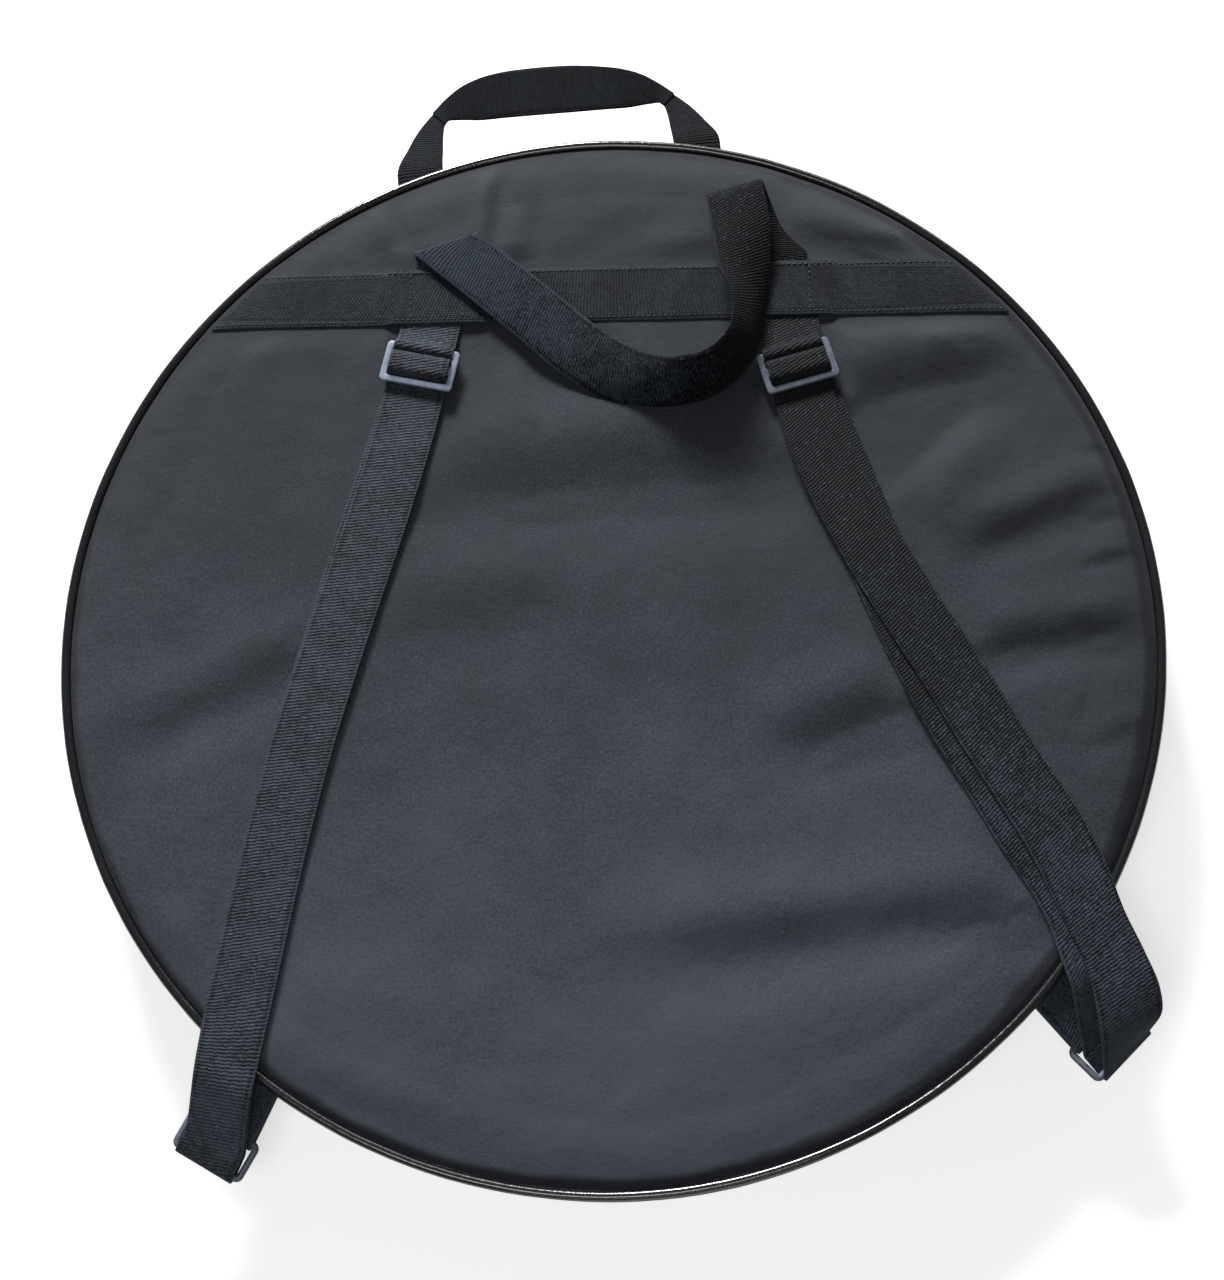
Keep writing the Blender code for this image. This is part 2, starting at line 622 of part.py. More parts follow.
class Side:
    """The places that the pieces of one strap share, and its pieces."""

    def __init__(self, name, route_shares, under_shares, tab_place, tab_direction):
        self.name = name
        self.route = share_points(route_shares)
        self.under = share_points(under_shares)
        self.root = self.route[0]
        self.buckle = self.route[1]
        self.run = (self.route[2] - self.route[1]).normalized()
        self.root_run = (self.route[0] - self.route[1]).normalized()
        self.buckle_run = (self.root_run - self.run).normalized()
        self.out = polar(1.0, tab_direction)
        self.bar = across(self.out)
        tab_root = polar(GUSSET_RADIUS, tab_place, RING_HEIGHT)
        self.inner_bar = tab_root + self.out * TAB_LENGTH
        self.outer_bar = self.inner_bar + self.out * RING_PITCH

    def inward(self, point):
        """How far a place lies inward of the ring's outer bar."""
        return (self.outer_bar - point).xy.dot(self.out.xy)

    def layer(self, level, sign):
        """The run and the rise of a layer where it starts to drop, and the angle where it meets the bar."""
        run = STRAP_DROP_RUN + (LOWER_DROP_EXTRA if sign < 0 else 0.0)
        rise = PANEL_TOP + level - RING_HEIGHT
        return run, rise, wrap_angle(run, rise, sign)

    def height(self, inward, level, sign):
        """The height of a layer: level over the bag, then straight down to the ring."""
        run, rise, angle = self.layer(level, sign)
        return RING_HEIGHT + rise + min(inward - run, 0.0) / tan(angle)

    def strap_line(self, route, level, sign, tops):
        """Edge pairs of one layer from its top to just above its foot."""
        foot_end = self.outer_bar - self.out * (FOOT_RUN + GAP)
        last = route[-1]
        reach = self.inward(last)
        run, _, _ = self.layer(level, sign)
        drop = foot_end + (last - foot_end) * ((run - FOOT_RUN) / (reach - FOOT_RUN))
        middle = [point.xy.to_3d() for point in tops + route]
        line = middle + [drop.xy.to_3d()]
        widths = [across(line[min(i + 1, len(line) - 1)] - line[max(i - 1, 0)]) for i in range(len(middle))]
        flow = [edges(point, width) for point, width in zip(middle, widths)]
        flow.append(edges(line[-1], self.bar))
        smooth = zip(smooth_points([a for a, _ in flow]), smooth_points([b for _, b in flow]))
        pairs = [edges((a + b) / 2, (b - a).normalized()) for a, b in smooth]
        pairs.append(edges(foot_end.xy.to_3d(), self.bar))
        return pairs

    def upper_run(self, bag):
        """The layer on top, from the seam under the band, beneath the buckle, to the ring."""
        flat_end = BUCKLE_MIDDLE_BAR / 2 + BUCKLE_SLOT + BUCKLE_BAR + WEAVE_TAIL + GAP
        slant = WEBBING_WIDTH / 2 * abs(self.root_run.x / self.root_run.y)
        band_edge = (self.root - self.buckle).length - WEBBING_WIDTH / 2 - slant - 2 * GAP
        top = self.root - self.root_run * (GAP / 2)
        tops = [top, self.buckle + self.root_run * band_edge, self.buckle + self.root_run * flat_end]
        pairs = []
        for pair in self.strap_line(self.route[2:], SECOND_LEVEL, 1, tops + [self.buckle]):
            placed = []
            for point in pair:
                beyond = (point - self.buckle).dot(self.root_run)
                share = min(max((beyond - flat_end) / (band_edge - slant - flat_end), 0.0), 1.0)
                lowered = (SECOND_LEVEL - FIRST_LEVEL) * share
                point.z = self.height(self.inward(point), SECOND_LEVEL, 1) - lowered
                placed.append(point)
            pairs.append(tuple(placed))
        return ribbon(bag, self.name + "_strap_upper_run", "webbing", pairs)

    def lower_run(self, bag):
        """The layer beneath, which comes back from the ring to the buckle."""
        pairs = []
        for pair in self.strap_line(self.under[1:], FIRST_LEVEL, -1, [self.under[0]]):
            for point in pair:
                point.z = self.height(self.inward(point), FIRST_LEVEL, -1)
            pairs.append(pair)
        return ribbon(bag, self.name + "_strap_lower_run", "webbing", pairs)

    def turned_webbing(self, bag, name, centre, start, stop, ends):
        """Webbing that goes round a bar of the ring, with a straight end before and after the turn."""
        path = []
        steps = 2 * TURN_STEPS
        for k in range(steps + 1):
            angle = start + (stop - start) * k / steps
            path.append((WRAP_RADIUS * cos(angle), WRAP_RADIUS * sin(angle)))
        pairs = [ends[0]]
        for outward, up in path:
            pairs.append(edges(centre + self.out * outward + Vector((0, 0, up)), self.bar))
        pairs.append(ends[1])
        return ribbon(bag, name, "webbing", pairs)

    def foot(self, bag):
        """The strap's turn round the ring's outer bar."""
        ends = []
        for level, sign in ((SECOND_LEVEL, 1), (FIRST_LEVEL, -1)):
            point = self.outer_bar - self.out * FOOT_RUN
            point.z = self.height(FOOT_RUN, level, sign)
            ends.append(edges(point, self.bar))
        start = self.layer(SECOND_LEVEL, 1)[2]
        stop = self.layer(FIRST_LEVEL, -1)[2] - 2 * pi
        return self.turned_webbing(bag, self.name + "_strap_foot", self.outer_bar, start, stop, ends)

    def tab(self, bag):
        """The doubled tab from the seam round the ring's inner bar."""
        ends = []
        for height in (TAB_TOP, TAB_TOP - LAYER):
            pair = []
            for edge in edges(self.inner_bar, self.bar):
                along = edge.xy.dot(self.out.xy)
                radius = GUSSET_RADIUS + GAP + WEBBING_WIDTH**2 / 8 / GUSSET_RADIUS
                back = along - sqrt(along * along - edge.xy.length_squared + radius * radius)
                end = edge - self.out * back
                pair.append(Vector((end.x, end.y, height)))
            ends.append(tuple(pair))
        start = wrap_angle(TAB_LENGTH, TAB_TOP - RING_HEIGHT, 1)
        stop = wrap_angle(TAB_LENGTH, TAB_TOP - LAYER - RING_HEIGHT, -1) - 2 * pi
        return self.turned_webbing(bag, self.name + "_ring_tab", self.inner_bar, start, stop, ends)

    def ring(self, bag):
        """The rectangular ring, one closed round bar."""
        name = self.name + "_ring"
        width = WEBBING_WIDTH + 2 * SIDE_CLEARANCE + 2 * RING_BAR_RADIUS
        curve = bpy.data.curves.new(name, "CURVE")
        curve.dimensions = "3D"
        curve.bevel_depth = RING_BAR_RADIUS
        curve.bevel_resolution = 2
        spline = curve.splines.new("POLY")
        outline = rounded_box(width, RING_PITCH, RING_CORNER, RING_PITCH / 2)
        spline.points.add(len(outline) - 1)
        for point, (x, y) in zip(spline.points, outline):
            point.co = (x, y, 0, 1)
        spline.use_cyclic_u = True
        obj = bag.add(name, curve, "ring_plastic")
        set_frame(obj, -self.bar, self.out, self.inner_bar)
        return obj

    def adjuster(self, bag):
        """The adjuster buckle, the webbing woven through it and the strap's end round its middle bar."""
        along = self.buckle_run
        side = -across(along)
        middle = BUCKLE_MIDDLE_BAR / 2
        slot_end = middle + BUCKLE_SLOT
        bar_end = slot_end + BUCKLE_BAR
        slot_width = WEBBING_WIDTH + 2 * SIDE_CLEARANCE
        loops = [rounded_box(slot_width + 2 * BUCKLE_SIDE, 2 * bar_end, BUCKLE_CORNER)]
        for sign in (-1, 1):
            centre = sign * (middle + slot_end) / 2
            loops.append(rounded_box(slot_width, BUCKLE_SLOT, BUCKLE_CORNER / 2, centre))
        buckle = flat_outline(bag, self.name + "_buckle", "buckle_plastic", loops, BUCKLE_THICKNESS)
        set_frame(buckle, side, along, self.buckle + Vector((0, 0, PANEL_TOP + BUCKLE_LEVEL)))

        sleeve = middle + GAP + WEBBING_THICKNESS / 2
        crest = sleeve + WEBBING_THICKNESS + GAP
        trough = crest + WEAVE_RUN
        tail = bar_end + WEAVE_TAIL
        half_line = [(crest, WEAVE_LEVEL), (trough, THIRD_LEVEL), (tail, THIRD_LEVEL)]
        line = [(-t, level) for t, level in reversed(half_line)] + half_line
        weave = self.woven(bag, "_strap_weave", line, along)
        closed = [(-sleeve, THIRD_LEVEL), (-sleeve, SLEEVE_LEVEL), (sleeve, SLEEVE_LEVEL), (sleeve, THIRD_LEVEL)]
        strap_end = self.woven(bag, "_strap_end", closed, along, True)
        return buckle, weave, strap_end

    def woven(self, bag, name, line, along, cyclic=False):
        """Webbing at the buckle from its places along the strap and its levels."""
        pairs = []
        for place, level in line:
            point = self.buckle + along * place
            point.z = PANEL_TOP + level
            pairs.append(edges(point, across(along)))
        return ribbon(bag, self.name + name, "webbing", pairs, cyclic=cyclic)


def build_band(bag, sides):
    """The webbing across the back panel, which rises over the two strap tops."""
    end_radius = GUSSET_RADIUS - BAND_END_MARGIN
    low_y = BAND_PLACE_SHARE * RIM_RADIUS - WEBBING_WIDTH / 2
    high_y = low_y + WEBBING_WIDTH
    half_low = sqrt(end_radius**2 - low_y**2)
    half_high = sqrt(end_radius**2 - high_y**2)
    middle = (half_low + half_high) / 2
    reach = WEBBING_WIDTH / 2 + BAND_RAMP_MARGIN
    places = [middle * k / BAND_STEPS for k in range(-BAND_STEPS, BAND_STEPS + 1)]
    last_flat = middle * (BAND_STEPS - 1) / BAND_STEPS
    for k in range(1, BAND_END_STEPS):
        place = last_flat + (middle - last_flat) * k / BAND_END_STEPS
        places += [-place, place]
    raised = []
    for side in sides:
        places = [x for x in places if abs(x - side.root.x) > reach + 2 * BAND_RAMP]
        for sign in (-1, 1):
            raised.append(side.root.x + sign * reach)
            places.append(side.root.x + sign * (reach + BAND_RAMP))
    pairs = []
    for x in sorted(places + raised):
        level = SECOND_LEVEL if x in raised else FIRST_LEVEL
        lift = BAND_END_LIFT * max((abs(x) - last_flat) / (middle - last_flat), 0.0)
        pair = []
        for y, half in ((low_y, half_low), (high_y, half_high)):
            edge_x = x * half / middle
            pair.append(Vector((edge_x, y, panel_height(hypot(edge_x, y)) + level + lift)))
        pairs.append(tuple(pair))
    return ribbon(bag, "back_band", "webbing", pairs)


def build_grab_loop(bag, left, right):
    """The free loop between the strap tops: it folds over, crosses the band, rises and comes back."""
    band_high = BAND_PLACE_SHARE * RIM_RADIUS + WEBBING_WIDTH / 2
    fold_x, fold_y, fold_turn = LOOP_FOLD_SHARES
    fold = Vector((fold_x * RIM_RADIUS, fold_y * RIM_RADIUS, 0))
    fold_line = polar(1.0, fold_turn * pi)
    fold_out = across(fold_line)
    first_width = -across(left.root_run)
    start = left.root + left.root_run * (GAP / 2)
    low = PANEL_TOP + FIRST_LEVEL
    pairs = [edges(start + Vector((0, 0, low)), first_width)]
    leave = left.root + left.root_run * (band_high - left.root.y + LOOP_BAND_MARGIN)
    pairs.append(edges(leave + Vector((0, 0, low)), first_width))
    high = PANEL_TOP + LOOP_SHARES[0][2] * LOOP_RISE
    fold_half = WEBBING_WIDTH / 2 / abs(fold_line.cross(left.root_run).z)
    radius = (high - low) / 2
    for k in range(TURN_STEPS + 1):
        angle = pi * k / TURN_STEPS
        point = fold + fold_out * (radius * sin(angle))
        point.z = low + radius * (1 - cos(angle))
        pairs.append(edges(point, fold_line, fold_half))
    rows = []
    for x, y, height, turned, tilt in LOOP_SHARES:
        point = Vector((x * RIM_RADIUS, y * RIM_RADIUS, PANEL_TOP + height * LOOP_RISE))
        width = polar(cos(tilt * pi), turned * pi, sin(tilt * pi))
        rows.append(edges(point, width))
    last_width = across(right.root_run)
    enter = right.root + right.root_run * (band_high - right.root.y + LOOP_BAND_MARGIN)
    rows.append(edges(enter + Vector((0, 0, low)), last_width))
    smooth = zip(smooth_points([a for a, _ in rows]), smooth_points([b for _, b in rows]))
    pairs += list(smooth)
    stop = right.root + right.root_run * (GAP / 2)
    pairs.append(edges(stop + Vector((0, 0, low)), last_width))
    return ribbon(bag, "grab_loop", "webbing", pairs)


def build_handle(bag):
    """The carry handle, cut from webbing in one flat piece, and the two roots under the piping."""
    outward = polar(1.0, HANDLE_PLACE)
    sideways = Vector((outward.y, -outward.x, 0))
    pivot = outward * HANDLE_AXIS_RADIUS + Vector((0, 0, TAB_TOP))
    inner_reach = HANDLE_REACH - WEBBING_WIDTH
    outer = [(x * HANDLE_HALF_SPAN, y * HANDLE_REACH) for x, y in HANDLE_OUTLINE_SHARES]
    inner = [(x * HANDLE_INNER_SPAN, y * inner_reach) for x, y in HANDLE_INNER_SHARES]
    half = [(x, y if y > 0 else -HANDLE_EDGE) for x, y in outer]
    inside = [(x, y if y > 0 else -HANDLE_EDGE) for x, y in inner]
    mirrored_half = [(-x, y) for x, y in reversed(half)]
    mirrored_inside = [(-x, y) for x, y in inside]
    outline = half + mirrored_half + mirrored_inside + list(reversed(inside))
    handle = flat_outline(bag, "carry_handle", "webbing", [outline], WEBBING_THICKNESS)
    drooped = outward * cos(HANDLE_DROOP) - Vector((0, 0, sin(HANDLE_DROOP)))
    set_frame(handle, sideways, drooped, pivot)

    roots = []
    for name, sign in (("left", -1), ("right", 1)):
        radius = GUSSET_RADIUS + GAP
        line = []
        for k in range(TURN_STEPS + 1):
            x = HANDLE_INNER_SPAN + HANDLE_LEG_WIDTH * k / TURN_STEPS
            line.append((sign * x, sqrt(radius * radius - x * x) - HANDLE_AXIS_RADIUS))
        outline = line + [(sign * x, -HANDLE_ROOT_CLEARANCE) for x in (HANDLE_HALF_SPAN, HANDLE_INNER_SPAN)]
        root = flat_outline(bag, name + "_handle_root", "webbing", [outline], WEBBING_THICKNESS)
        set_frame(root, sideways, outward, pivot)
        roots.append(root)
    return handle, roots, pivot


def main():
    """Build the bag, with what moves carried by a helper on its joint's axis."""
    clear_scene()
    bag = Bag()
    build_front_shell(bag)
    lid = bag.empty("lid_axis", (0, -GUSSET_RADIUS, ZIP_HEIGHT))
    carried = build_back_shell(bag)
    left = Side("left", LEFT_ROUTE_SHARES, LEFT_ROUTE_SHARES[1:], LEFT_TAB_PLACE, LEFT_TAB_DIRECTION)
    right = Side("right", RIGHT_ROUTE_SHARES, RIGHT_UNDER_ROUTE_SHARES, RIGHT_TAB_PLACE, RIGHT_TAB_DIRECTION)
    carried.append(build_band(bag, (left, right)))
    carried.append(build_grab_loop(bag, left, right))
    handle, roots, handle_pivot = build_handle(bag)
    carried += roots
    for side in (left, right):
        carried += [side.upper_run(bag), side.lower_run(bag), side.tab(bag)]
        middle = side.buckle + Vector((0, 0, PANEL_TOP + BUCKLE_LEVEL))
        adjuster = bag.empty(side.name + "_adjuster_axis", middle)
        carry(adjuster, *side.adjuster(bag))
        ring = bag.empty(side.name + "_ring_axis", side.inner_bar)
        carry(ring, side.ring(bag), side.foot(bag))
        carried += [adjuster, ring]
    handle_axis = bag.empty("handle_axis", handle_pivot)
    carry(handle_axis, handle)
    carried.append(handle_axis)
    carry(lid, *carried)
    for name, sign in (("left", 1), ("right", -1)):
        plates, pull, pivot = build_slider(bag, name, sign)
        slider_axis = bag.empty(name + "_slider_axis", (0, 0, ZIP_HEIGHT))
        pull_axis = bag.empty(name + "_pull_axis", pivot)
        carry(pull_axis, pull)
        carry(slider_axis, *plates, pull_axis)


if __name__ == "__main__":
    main()
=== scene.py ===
"""Looks of a round padded cymbal bag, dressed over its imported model.

The bag lies on its front face with the back panel up. Metres, +Z up, +Y towards the carry handle. Each
sub-assembly is a class that holds its sizes, models its pieces and gives them their finish.
"""

import logging
from collections.abc import Callable, Iterable, Sequence
from dataclasses import dataclass
from enum import Enum
from math import acos, asin, atan2, cos, exp, hypot, pi, radians, sin, sqrt, tan

import bpy
import numpy as np
from mathutils import Matrix, Vector, noise


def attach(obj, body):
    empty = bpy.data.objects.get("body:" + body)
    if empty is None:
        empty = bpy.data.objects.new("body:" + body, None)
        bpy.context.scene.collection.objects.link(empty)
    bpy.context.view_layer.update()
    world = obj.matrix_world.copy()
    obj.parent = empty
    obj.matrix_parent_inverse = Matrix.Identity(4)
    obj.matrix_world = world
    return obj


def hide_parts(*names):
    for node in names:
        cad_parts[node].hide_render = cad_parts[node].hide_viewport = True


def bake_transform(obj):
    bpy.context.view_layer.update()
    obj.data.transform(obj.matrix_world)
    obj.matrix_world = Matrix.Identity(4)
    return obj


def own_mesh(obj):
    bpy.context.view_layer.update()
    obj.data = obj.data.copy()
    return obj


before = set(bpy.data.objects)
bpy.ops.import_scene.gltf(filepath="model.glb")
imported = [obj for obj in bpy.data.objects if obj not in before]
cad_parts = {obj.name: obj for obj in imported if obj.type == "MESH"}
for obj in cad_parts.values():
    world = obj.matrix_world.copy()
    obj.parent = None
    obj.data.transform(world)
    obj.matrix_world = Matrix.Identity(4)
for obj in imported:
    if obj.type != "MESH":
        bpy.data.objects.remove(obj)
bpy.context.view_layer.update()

logging.basicConfig(level=logging.INFO, format="%(levelname)s %(message)s")
LOG = logging.getLogger("cymbal_bag")

Pair = tuple[Vector, Vector]
Point = tuple[float, float, float]
Place = Callable[[float, float], Point]
Colour = tuple[float, float, float, float]

UP = Vector((0, 0, 1))


# Sizes that the sub-assemblies share


@dataclass(frozen=True)
class Layout:
    """The bag's main radii, heights and gaps, in metres.

    Attributes:
        rim: Outside radius of the piping.
        cord: Radius of the piping.
        gap: Clearance between neighbouring pieces.
        front_seam: Height of the front panel's seam.
        back_seam: Height of the back panel's seam.
        puff: How far the back panel stands above its seam.
        roll: How far in from the seam the panel's edge rolls down.
        fabric: Thickness of the outer cloth.
        foam: Thickness of the panels' foam.
        tape: Thickness of the zip's tapes.
        coil: Thickness of the zip's coil.
        coil_width: Height of one half of the coil.
        hinge_half: Half the angle of the gusset that has no zip.
        band_share: Where the band's middle line lies, as a share of the rim.
    """

    rim: float = 0.2925
    cord: float = 0.0025
    gap: float = 0.0003
    front_seam: float = 0.0036
    back_seam: float = 0.0500
    puff: float = 0.004
    roll: float = 0.022
    fabric: float = 0.001
    foam: float = 0.005
    tape: float = 0.0006
    coil: float = 0.0026
    coil_width: float = 0.00235
    hinge_half: float = radians(30)
    band_share: float = 0.66

    @property
    def gusset(self) -> float:
        """Outside radius of the gusset."""
        return self.rim - 2 * self.cord - self.gap

    @property
    def panel_top(self) -> float:
        """Height of the back panel's flat middle."""
        return self.back_seam + self.puff

    @property
    def zip_height(self) -> float:
        """Height of the zip's middle line."""
        return (self.front_seam + self.back_seam) / 2

    @property
    def tape_radius(self) -> float:
        """Outside radius of the zip tapes."""
        return self.gusset - self.fabric - self.gap

    @property
    def foam_radius(self) -> float:
        """Outside radius of the foam in the sides."""
        return self.gusset - self.fabric - self.tape - 2 * self.gap

    @property
    def zip_start(self) -> float:
        """Angle where the zip starts beside the hinge."""
        return -pi / 2 + self.hinge_half

    @property
    def zip_arc(self) -> float:
        """Angle that the zip runs round."""
        return 2 * pi - 2 * self.hinge_half

    def panel_height(self, radius: float) -> float:
        """Height of the back panel's outside at a distance from the bag's axis."""
        beyond = clamp((radius - self.gusset + self.roll) / self.roll)
        return self.back_seam + self.puff * sqrt(1 - beyond * beyond)


@dataclass(frozen=True)
class Web:
    """The webbing stock of the straps, band, loop, tabs and handle, and its levels above the back panel."""

    width: float = 0.033
    thick: float = 0.0013
    gap: float = 0.0003
    buckle_thick: float = 0.0022

    @property
    def layer(self) -> float:
        """Height from one layer to the next."""
        return self.thick + self.gap

    @property
    def seam(self) -> float:
        """Height of webbing that is sewn in under the back piping."""
        return LAYOUT.back_seam - LAYOUT.cord - LAYOUT.gap - self.thick / 2

    def level(self, layers: int) -> float:
        """Height of the middle of a layer, where 0 is the layer on the panel."""
        return self.gap + self.thick / 2 + layers * self.layer

    @property
    def sleeve_level(self) -> float:
        """Height of the strap's end over the adjuster's middle bar."""
        buckle_level = self.level(2) + self.thick / 2 + self.gap + self.buckle_thick / 2
        return buckle_level + self.buckle_thick / 2 + self.gap + self.thick / 2


LAYOUT = Layout()
WEB = Web()


# Geometry


def clamp(value: float) -> float:
    """The value, held between 0 and 1."""
    return min(max(value, 0.0), 1.0)


def polar(radius: float, angle: float, height: float = 0.0) -> Vector:
    """A place from its radius, angle and height."""
    return Vector((radius * cos(angle), radius * sin(angle), height))


def on_plan(x_share: float, y_share: float, height: float = 0.0) -> Vector:
    """A place from its shares of the rim's radius, and its height."""
    return Vector((x_share * LAYOUT.rim, y_share * LAYOUT.rim, height))


def across(direction: Vector) -> Vector:
    """The level direction square to a level direction, on its left."""
    return Vector((-direction.y, direction.x, 0)).normalized()


def edges(point: Vector, direction: Vector, half: float = WEB.width / 2) -> Pair:
    """The two edge points of webbing about a point of its middle line."""
    return point - direction * half, point + direction * half


def between(first: Pair, last: Pair, parts: int, picked: Iterable[int]) -> list[Pair]:
    """Edge pairs on the straight way between two, at the picked ones of its equal parts."""
    return [tuple(a + (b - a) * (k / parts) for a, b in zip(first, last)) for k in picked]


def curve_through(points: Sequence[Vector], steps: int) -> list[Vector]:
    """Points on a smooth curve through the given ones.

    Args:
        points: The places that it passes through.
        steps: Steps from one to the next.

    Returns:
        The points of the curve.
    """
    runs = [there - here for here, there in zip(points, points[1:])]
    slopes = [runs[0].normalized()]
    for before, after in zip(runs, runs[1:]):
        spans = before.length + after.length
        turned = after.normalized() * (before.length / spans)
        slopes.append(before.normalized() * (after.length / spans) + turned)
    slopes.append(runs[-1].normalized())
    found = []
    for here, run, leave, arrive in zip(points, runs, slopes, slopes[1:]):
        for k in range(steps):
            t = k / steps
            eased = t * t * (3 - 2 * t)
            bend = leave * (t * (1 - t) * (1 - t)) - arrive * (t * t * (1 - t))
            found.append(here + run * eased + bend * run.length)
    return found + [points[-1].copy()]


def curve_pairs(pairs: Sequence[Pair], steps: int) -> list[Pair]:
    """Edge pairs on smooth curves through the given ones.

    Args:
        pairs: Pairs that the curves pass through.
        steps: Steps from one to the next.

    Returns:
        The pairs.
    """
    firsts = curve_through([a for a, _ in pairs], steps)
    seconds = curve_through([b for _, b in pairs], steps)
    return list(zip(firsts, seconds))


def unrest(x: float, y: float, scale: float, seed: float = 0.0) -> float:
    """Smooth noise of about -1 to 1 over the bag's plan."""
    return noise.noise(Vector((x * scale, y * scale, seed)))


def on_disc(a: float, b: float, radius: float) -> tuple[float, float]:
    """A place on a round sheet from the two shares of a square grid."""
    x, y = 2 * a - 1, 2 * b - 1
    return radius * x * sqrt(1 - y * y / 2), radius * y * sqrt(1 - x * x / 2)


def read_points(mesh: bpy.types.Mesh) -> np.ndarray:
    """The places of a mesh's points, one in each row.

    Args:
        mesh: The mesh.

    Returns:
        Rows of X, Y and Z.
    """
    flat = np.zeros(len(mesh.vertices) * 3)
    mesh.vertices.foreach_get("co", flat)
    return flat.reshape(-1, 3)


def write_points(mesh: bpy.types.Mesh, points: np.ndarray) -> None:
    """Put a mesh's points at new places."""
    mesh.vertices.foreach_set("co", points.ravel())
    mesh.update()


def add_object(name: str, data: bpy.types.ID) -> bpy.types.Object:
    """A new object in the scene that holds the data.

    Args:
        name: Its name.
        data: A mesh, curve, lamp or camera.

    Returns:
        The object.
    """
    obj = bpy.data.objects.new(name, data)
    bpy.context.scene.collection.objects.link(obj)
    return obj


# Shader maths


class Signal:
    """A value in a material. Python's operators on it add Math nodes."""

    def __init__(self, recipe: "Recipe", socket: bpy.types.NodeSocket) -> None:
        """Keep the recipe and the socket that gives the value."""
        self.recipe = recipe
        self.socket = socket

    def maths(self, operation: str, *operands: "Signal | float") -> "Signal":
        """Add one Math node with its operands."""
        return self.recipe.node("ShaderNodeMath", {"operation": operation}, dict(enumerate(operands)))

    def __add__(self, other: "Signal | float") -> "Signal":
        """Sum."""
        return self.maths("ADD", self, other)

    __radd__ = __add__

    def __mul__(self, other: "Signal | float") -> "Signal":
        """Product."""
        return self.maths("MULTIPLY", self, other)

    __rmul__ = __mul__

    def __sub__(self, other: "Signal | float") -> "Signal":
        """Difference."""
        return self.maths("SUBTRACT", self, other)

    def __rsub__(self, other: "Signal | float") -> "Signal":
        """Reflected difference."""
        return self.maths("SUBTRACT", other, self)

    def __truediv__(self, other: "Signal | float") -> "Signal":
        """Quotient."""
        return self.maths("DIVIDE", self, other)

    def sine(self) -> "Signal":
        """Sine of the value in radians."""
        return self.maths("SINE", self)

    def size(self) -> "Signal":
        """Value without its sign."""
        return self.maths("ABSOLUTE", self)

    def wave(self, pitch: float, shift: "Signal | float" = 0.0) -> "Signal":
        """Sine that repeats every pitch in metres, moved along by a shift in radians."""
        return (self * (2 * pi / pitch) + shift).sine()

    def swing(self, amount: float) -> "Signal":
        """How far the value lies from a half, times an amount."""
        return (self - 0.5) * amount

    def step(self, low: float, high: float) -> "Signal":
        """A soft step from 0 at low to 1 at high."""
        inputs = {"Value": self, "From Min": low, "From Max": high, "To Min": 0.0, "To Max": 1.0}
        return self.recipe.node("ShaderNodeMapRange", {"interpolation_type": "SMOOTHSTEP"}, inputs)


class Recipe:
    """The node tree of one material or of the world."""

    def __init__(
        self, owner: bpy.types.Material | bpy.types.World, output: str = "ShaderNodeOutputMaterial"
    ) -> None:
        """Start a tree that holds only its output.

        Args:
            owner: The material or the world.
            output: Type of its output node.
        """
        owner.use_nodes = True
        self.owner = owner
        self.tree = owner.node_tree
        self.tree.nodes.clear()
        self.output = self.tree.nodes.new(output)

    def node(self, kind: str, settings: dict, inputs: dict, result: str | int = 0) -> Signal:
        """Make any node.

        Args:
            kind: The node's type.
            settings: Its settings, which are set first.
            inputs: Values or links by the socket's name or number.
            result: The output socket's name or number.

        Returns:
            The wanted output.
        """
        made = self.tree.nodes.new(kind)
        for name, value in settings.items():
            setattr(made, name, value)
        for name, value in inputs.items():
            if isinstance(value, Signal):
                self.tree.links.new(value.socket, made.inputs[name])
            else:
                made.inputs[name].default_value = value
        return Signal(self, made.outputs[result])

    def close(self, shader: Signal) -> None:
        """Link the finished shader to the output."""
        self.tree.links.new(shader.socket, self.output.inputs["Surface"])

    def split(self, vector: Signal) -> tuple[Signal, Signal]:
        """The first two directions of a vector."""
        return tuple(self.node("ShaderNodeSeparateXYZ", {}, {0: vector}, k) for k in (0, 1))

    def weave_map(self) -> Signal:
        """The piece's own map of its cloth in metres."""
        return self.node("ShaderNodeUVMap", {"uv_map": "Weave"}, {})

    def place(self) -> Signal:
        """The place on the piece in metres."""
        return self.node("ShaderNodeTexCoord", {}, {}, "Object")

    def stretched(self, vector: Signal, scale: Point, turn: float = 0.0) -> Signal:
        """A vector that is scaled, and turned about Z."""
        inputs = {"Vector": vector, "Rotation": (0, 0, turn), "Scale": scale}
        return self.node("ShaderNodeMapping", {}, inputs)

    def cloud(self, vector: Signal, scale: float, detail: float = 3.0, roughness: float = 0.55) -> Signal:
        """Noise from 0 to 1."""
        inputs = {"Vector": vector, "Scale": scale, "Detail": detail, "Roughness": roughness}
        return self.node("ShaderNodeTexNoise", {}, inputs, "Fac")

    def blend(self, share: Signal, first: Colour | Signal, second: Colour | Signal) -> Signal:
        """A colour between two by a share."""
        settings = {"data_type": "RGBA", "clamp_factor": True}
        return self.node("ShaderNodeMix", settings, {0: share, 6: first, 7: second}, 2)

    def relief(self, height: Signal, depth: float, strength: float = 1.0, **under: Signal) -> Signal:
        """A Bump node for a height of 0 to 1, worth a depth in metres, over another Normal if given."""
        inputs = {"Height": height, "Distance": depth, "Strength": strength, **under}
        return self.node("ShaderNodeBump", {}, inputs)


# Finishes


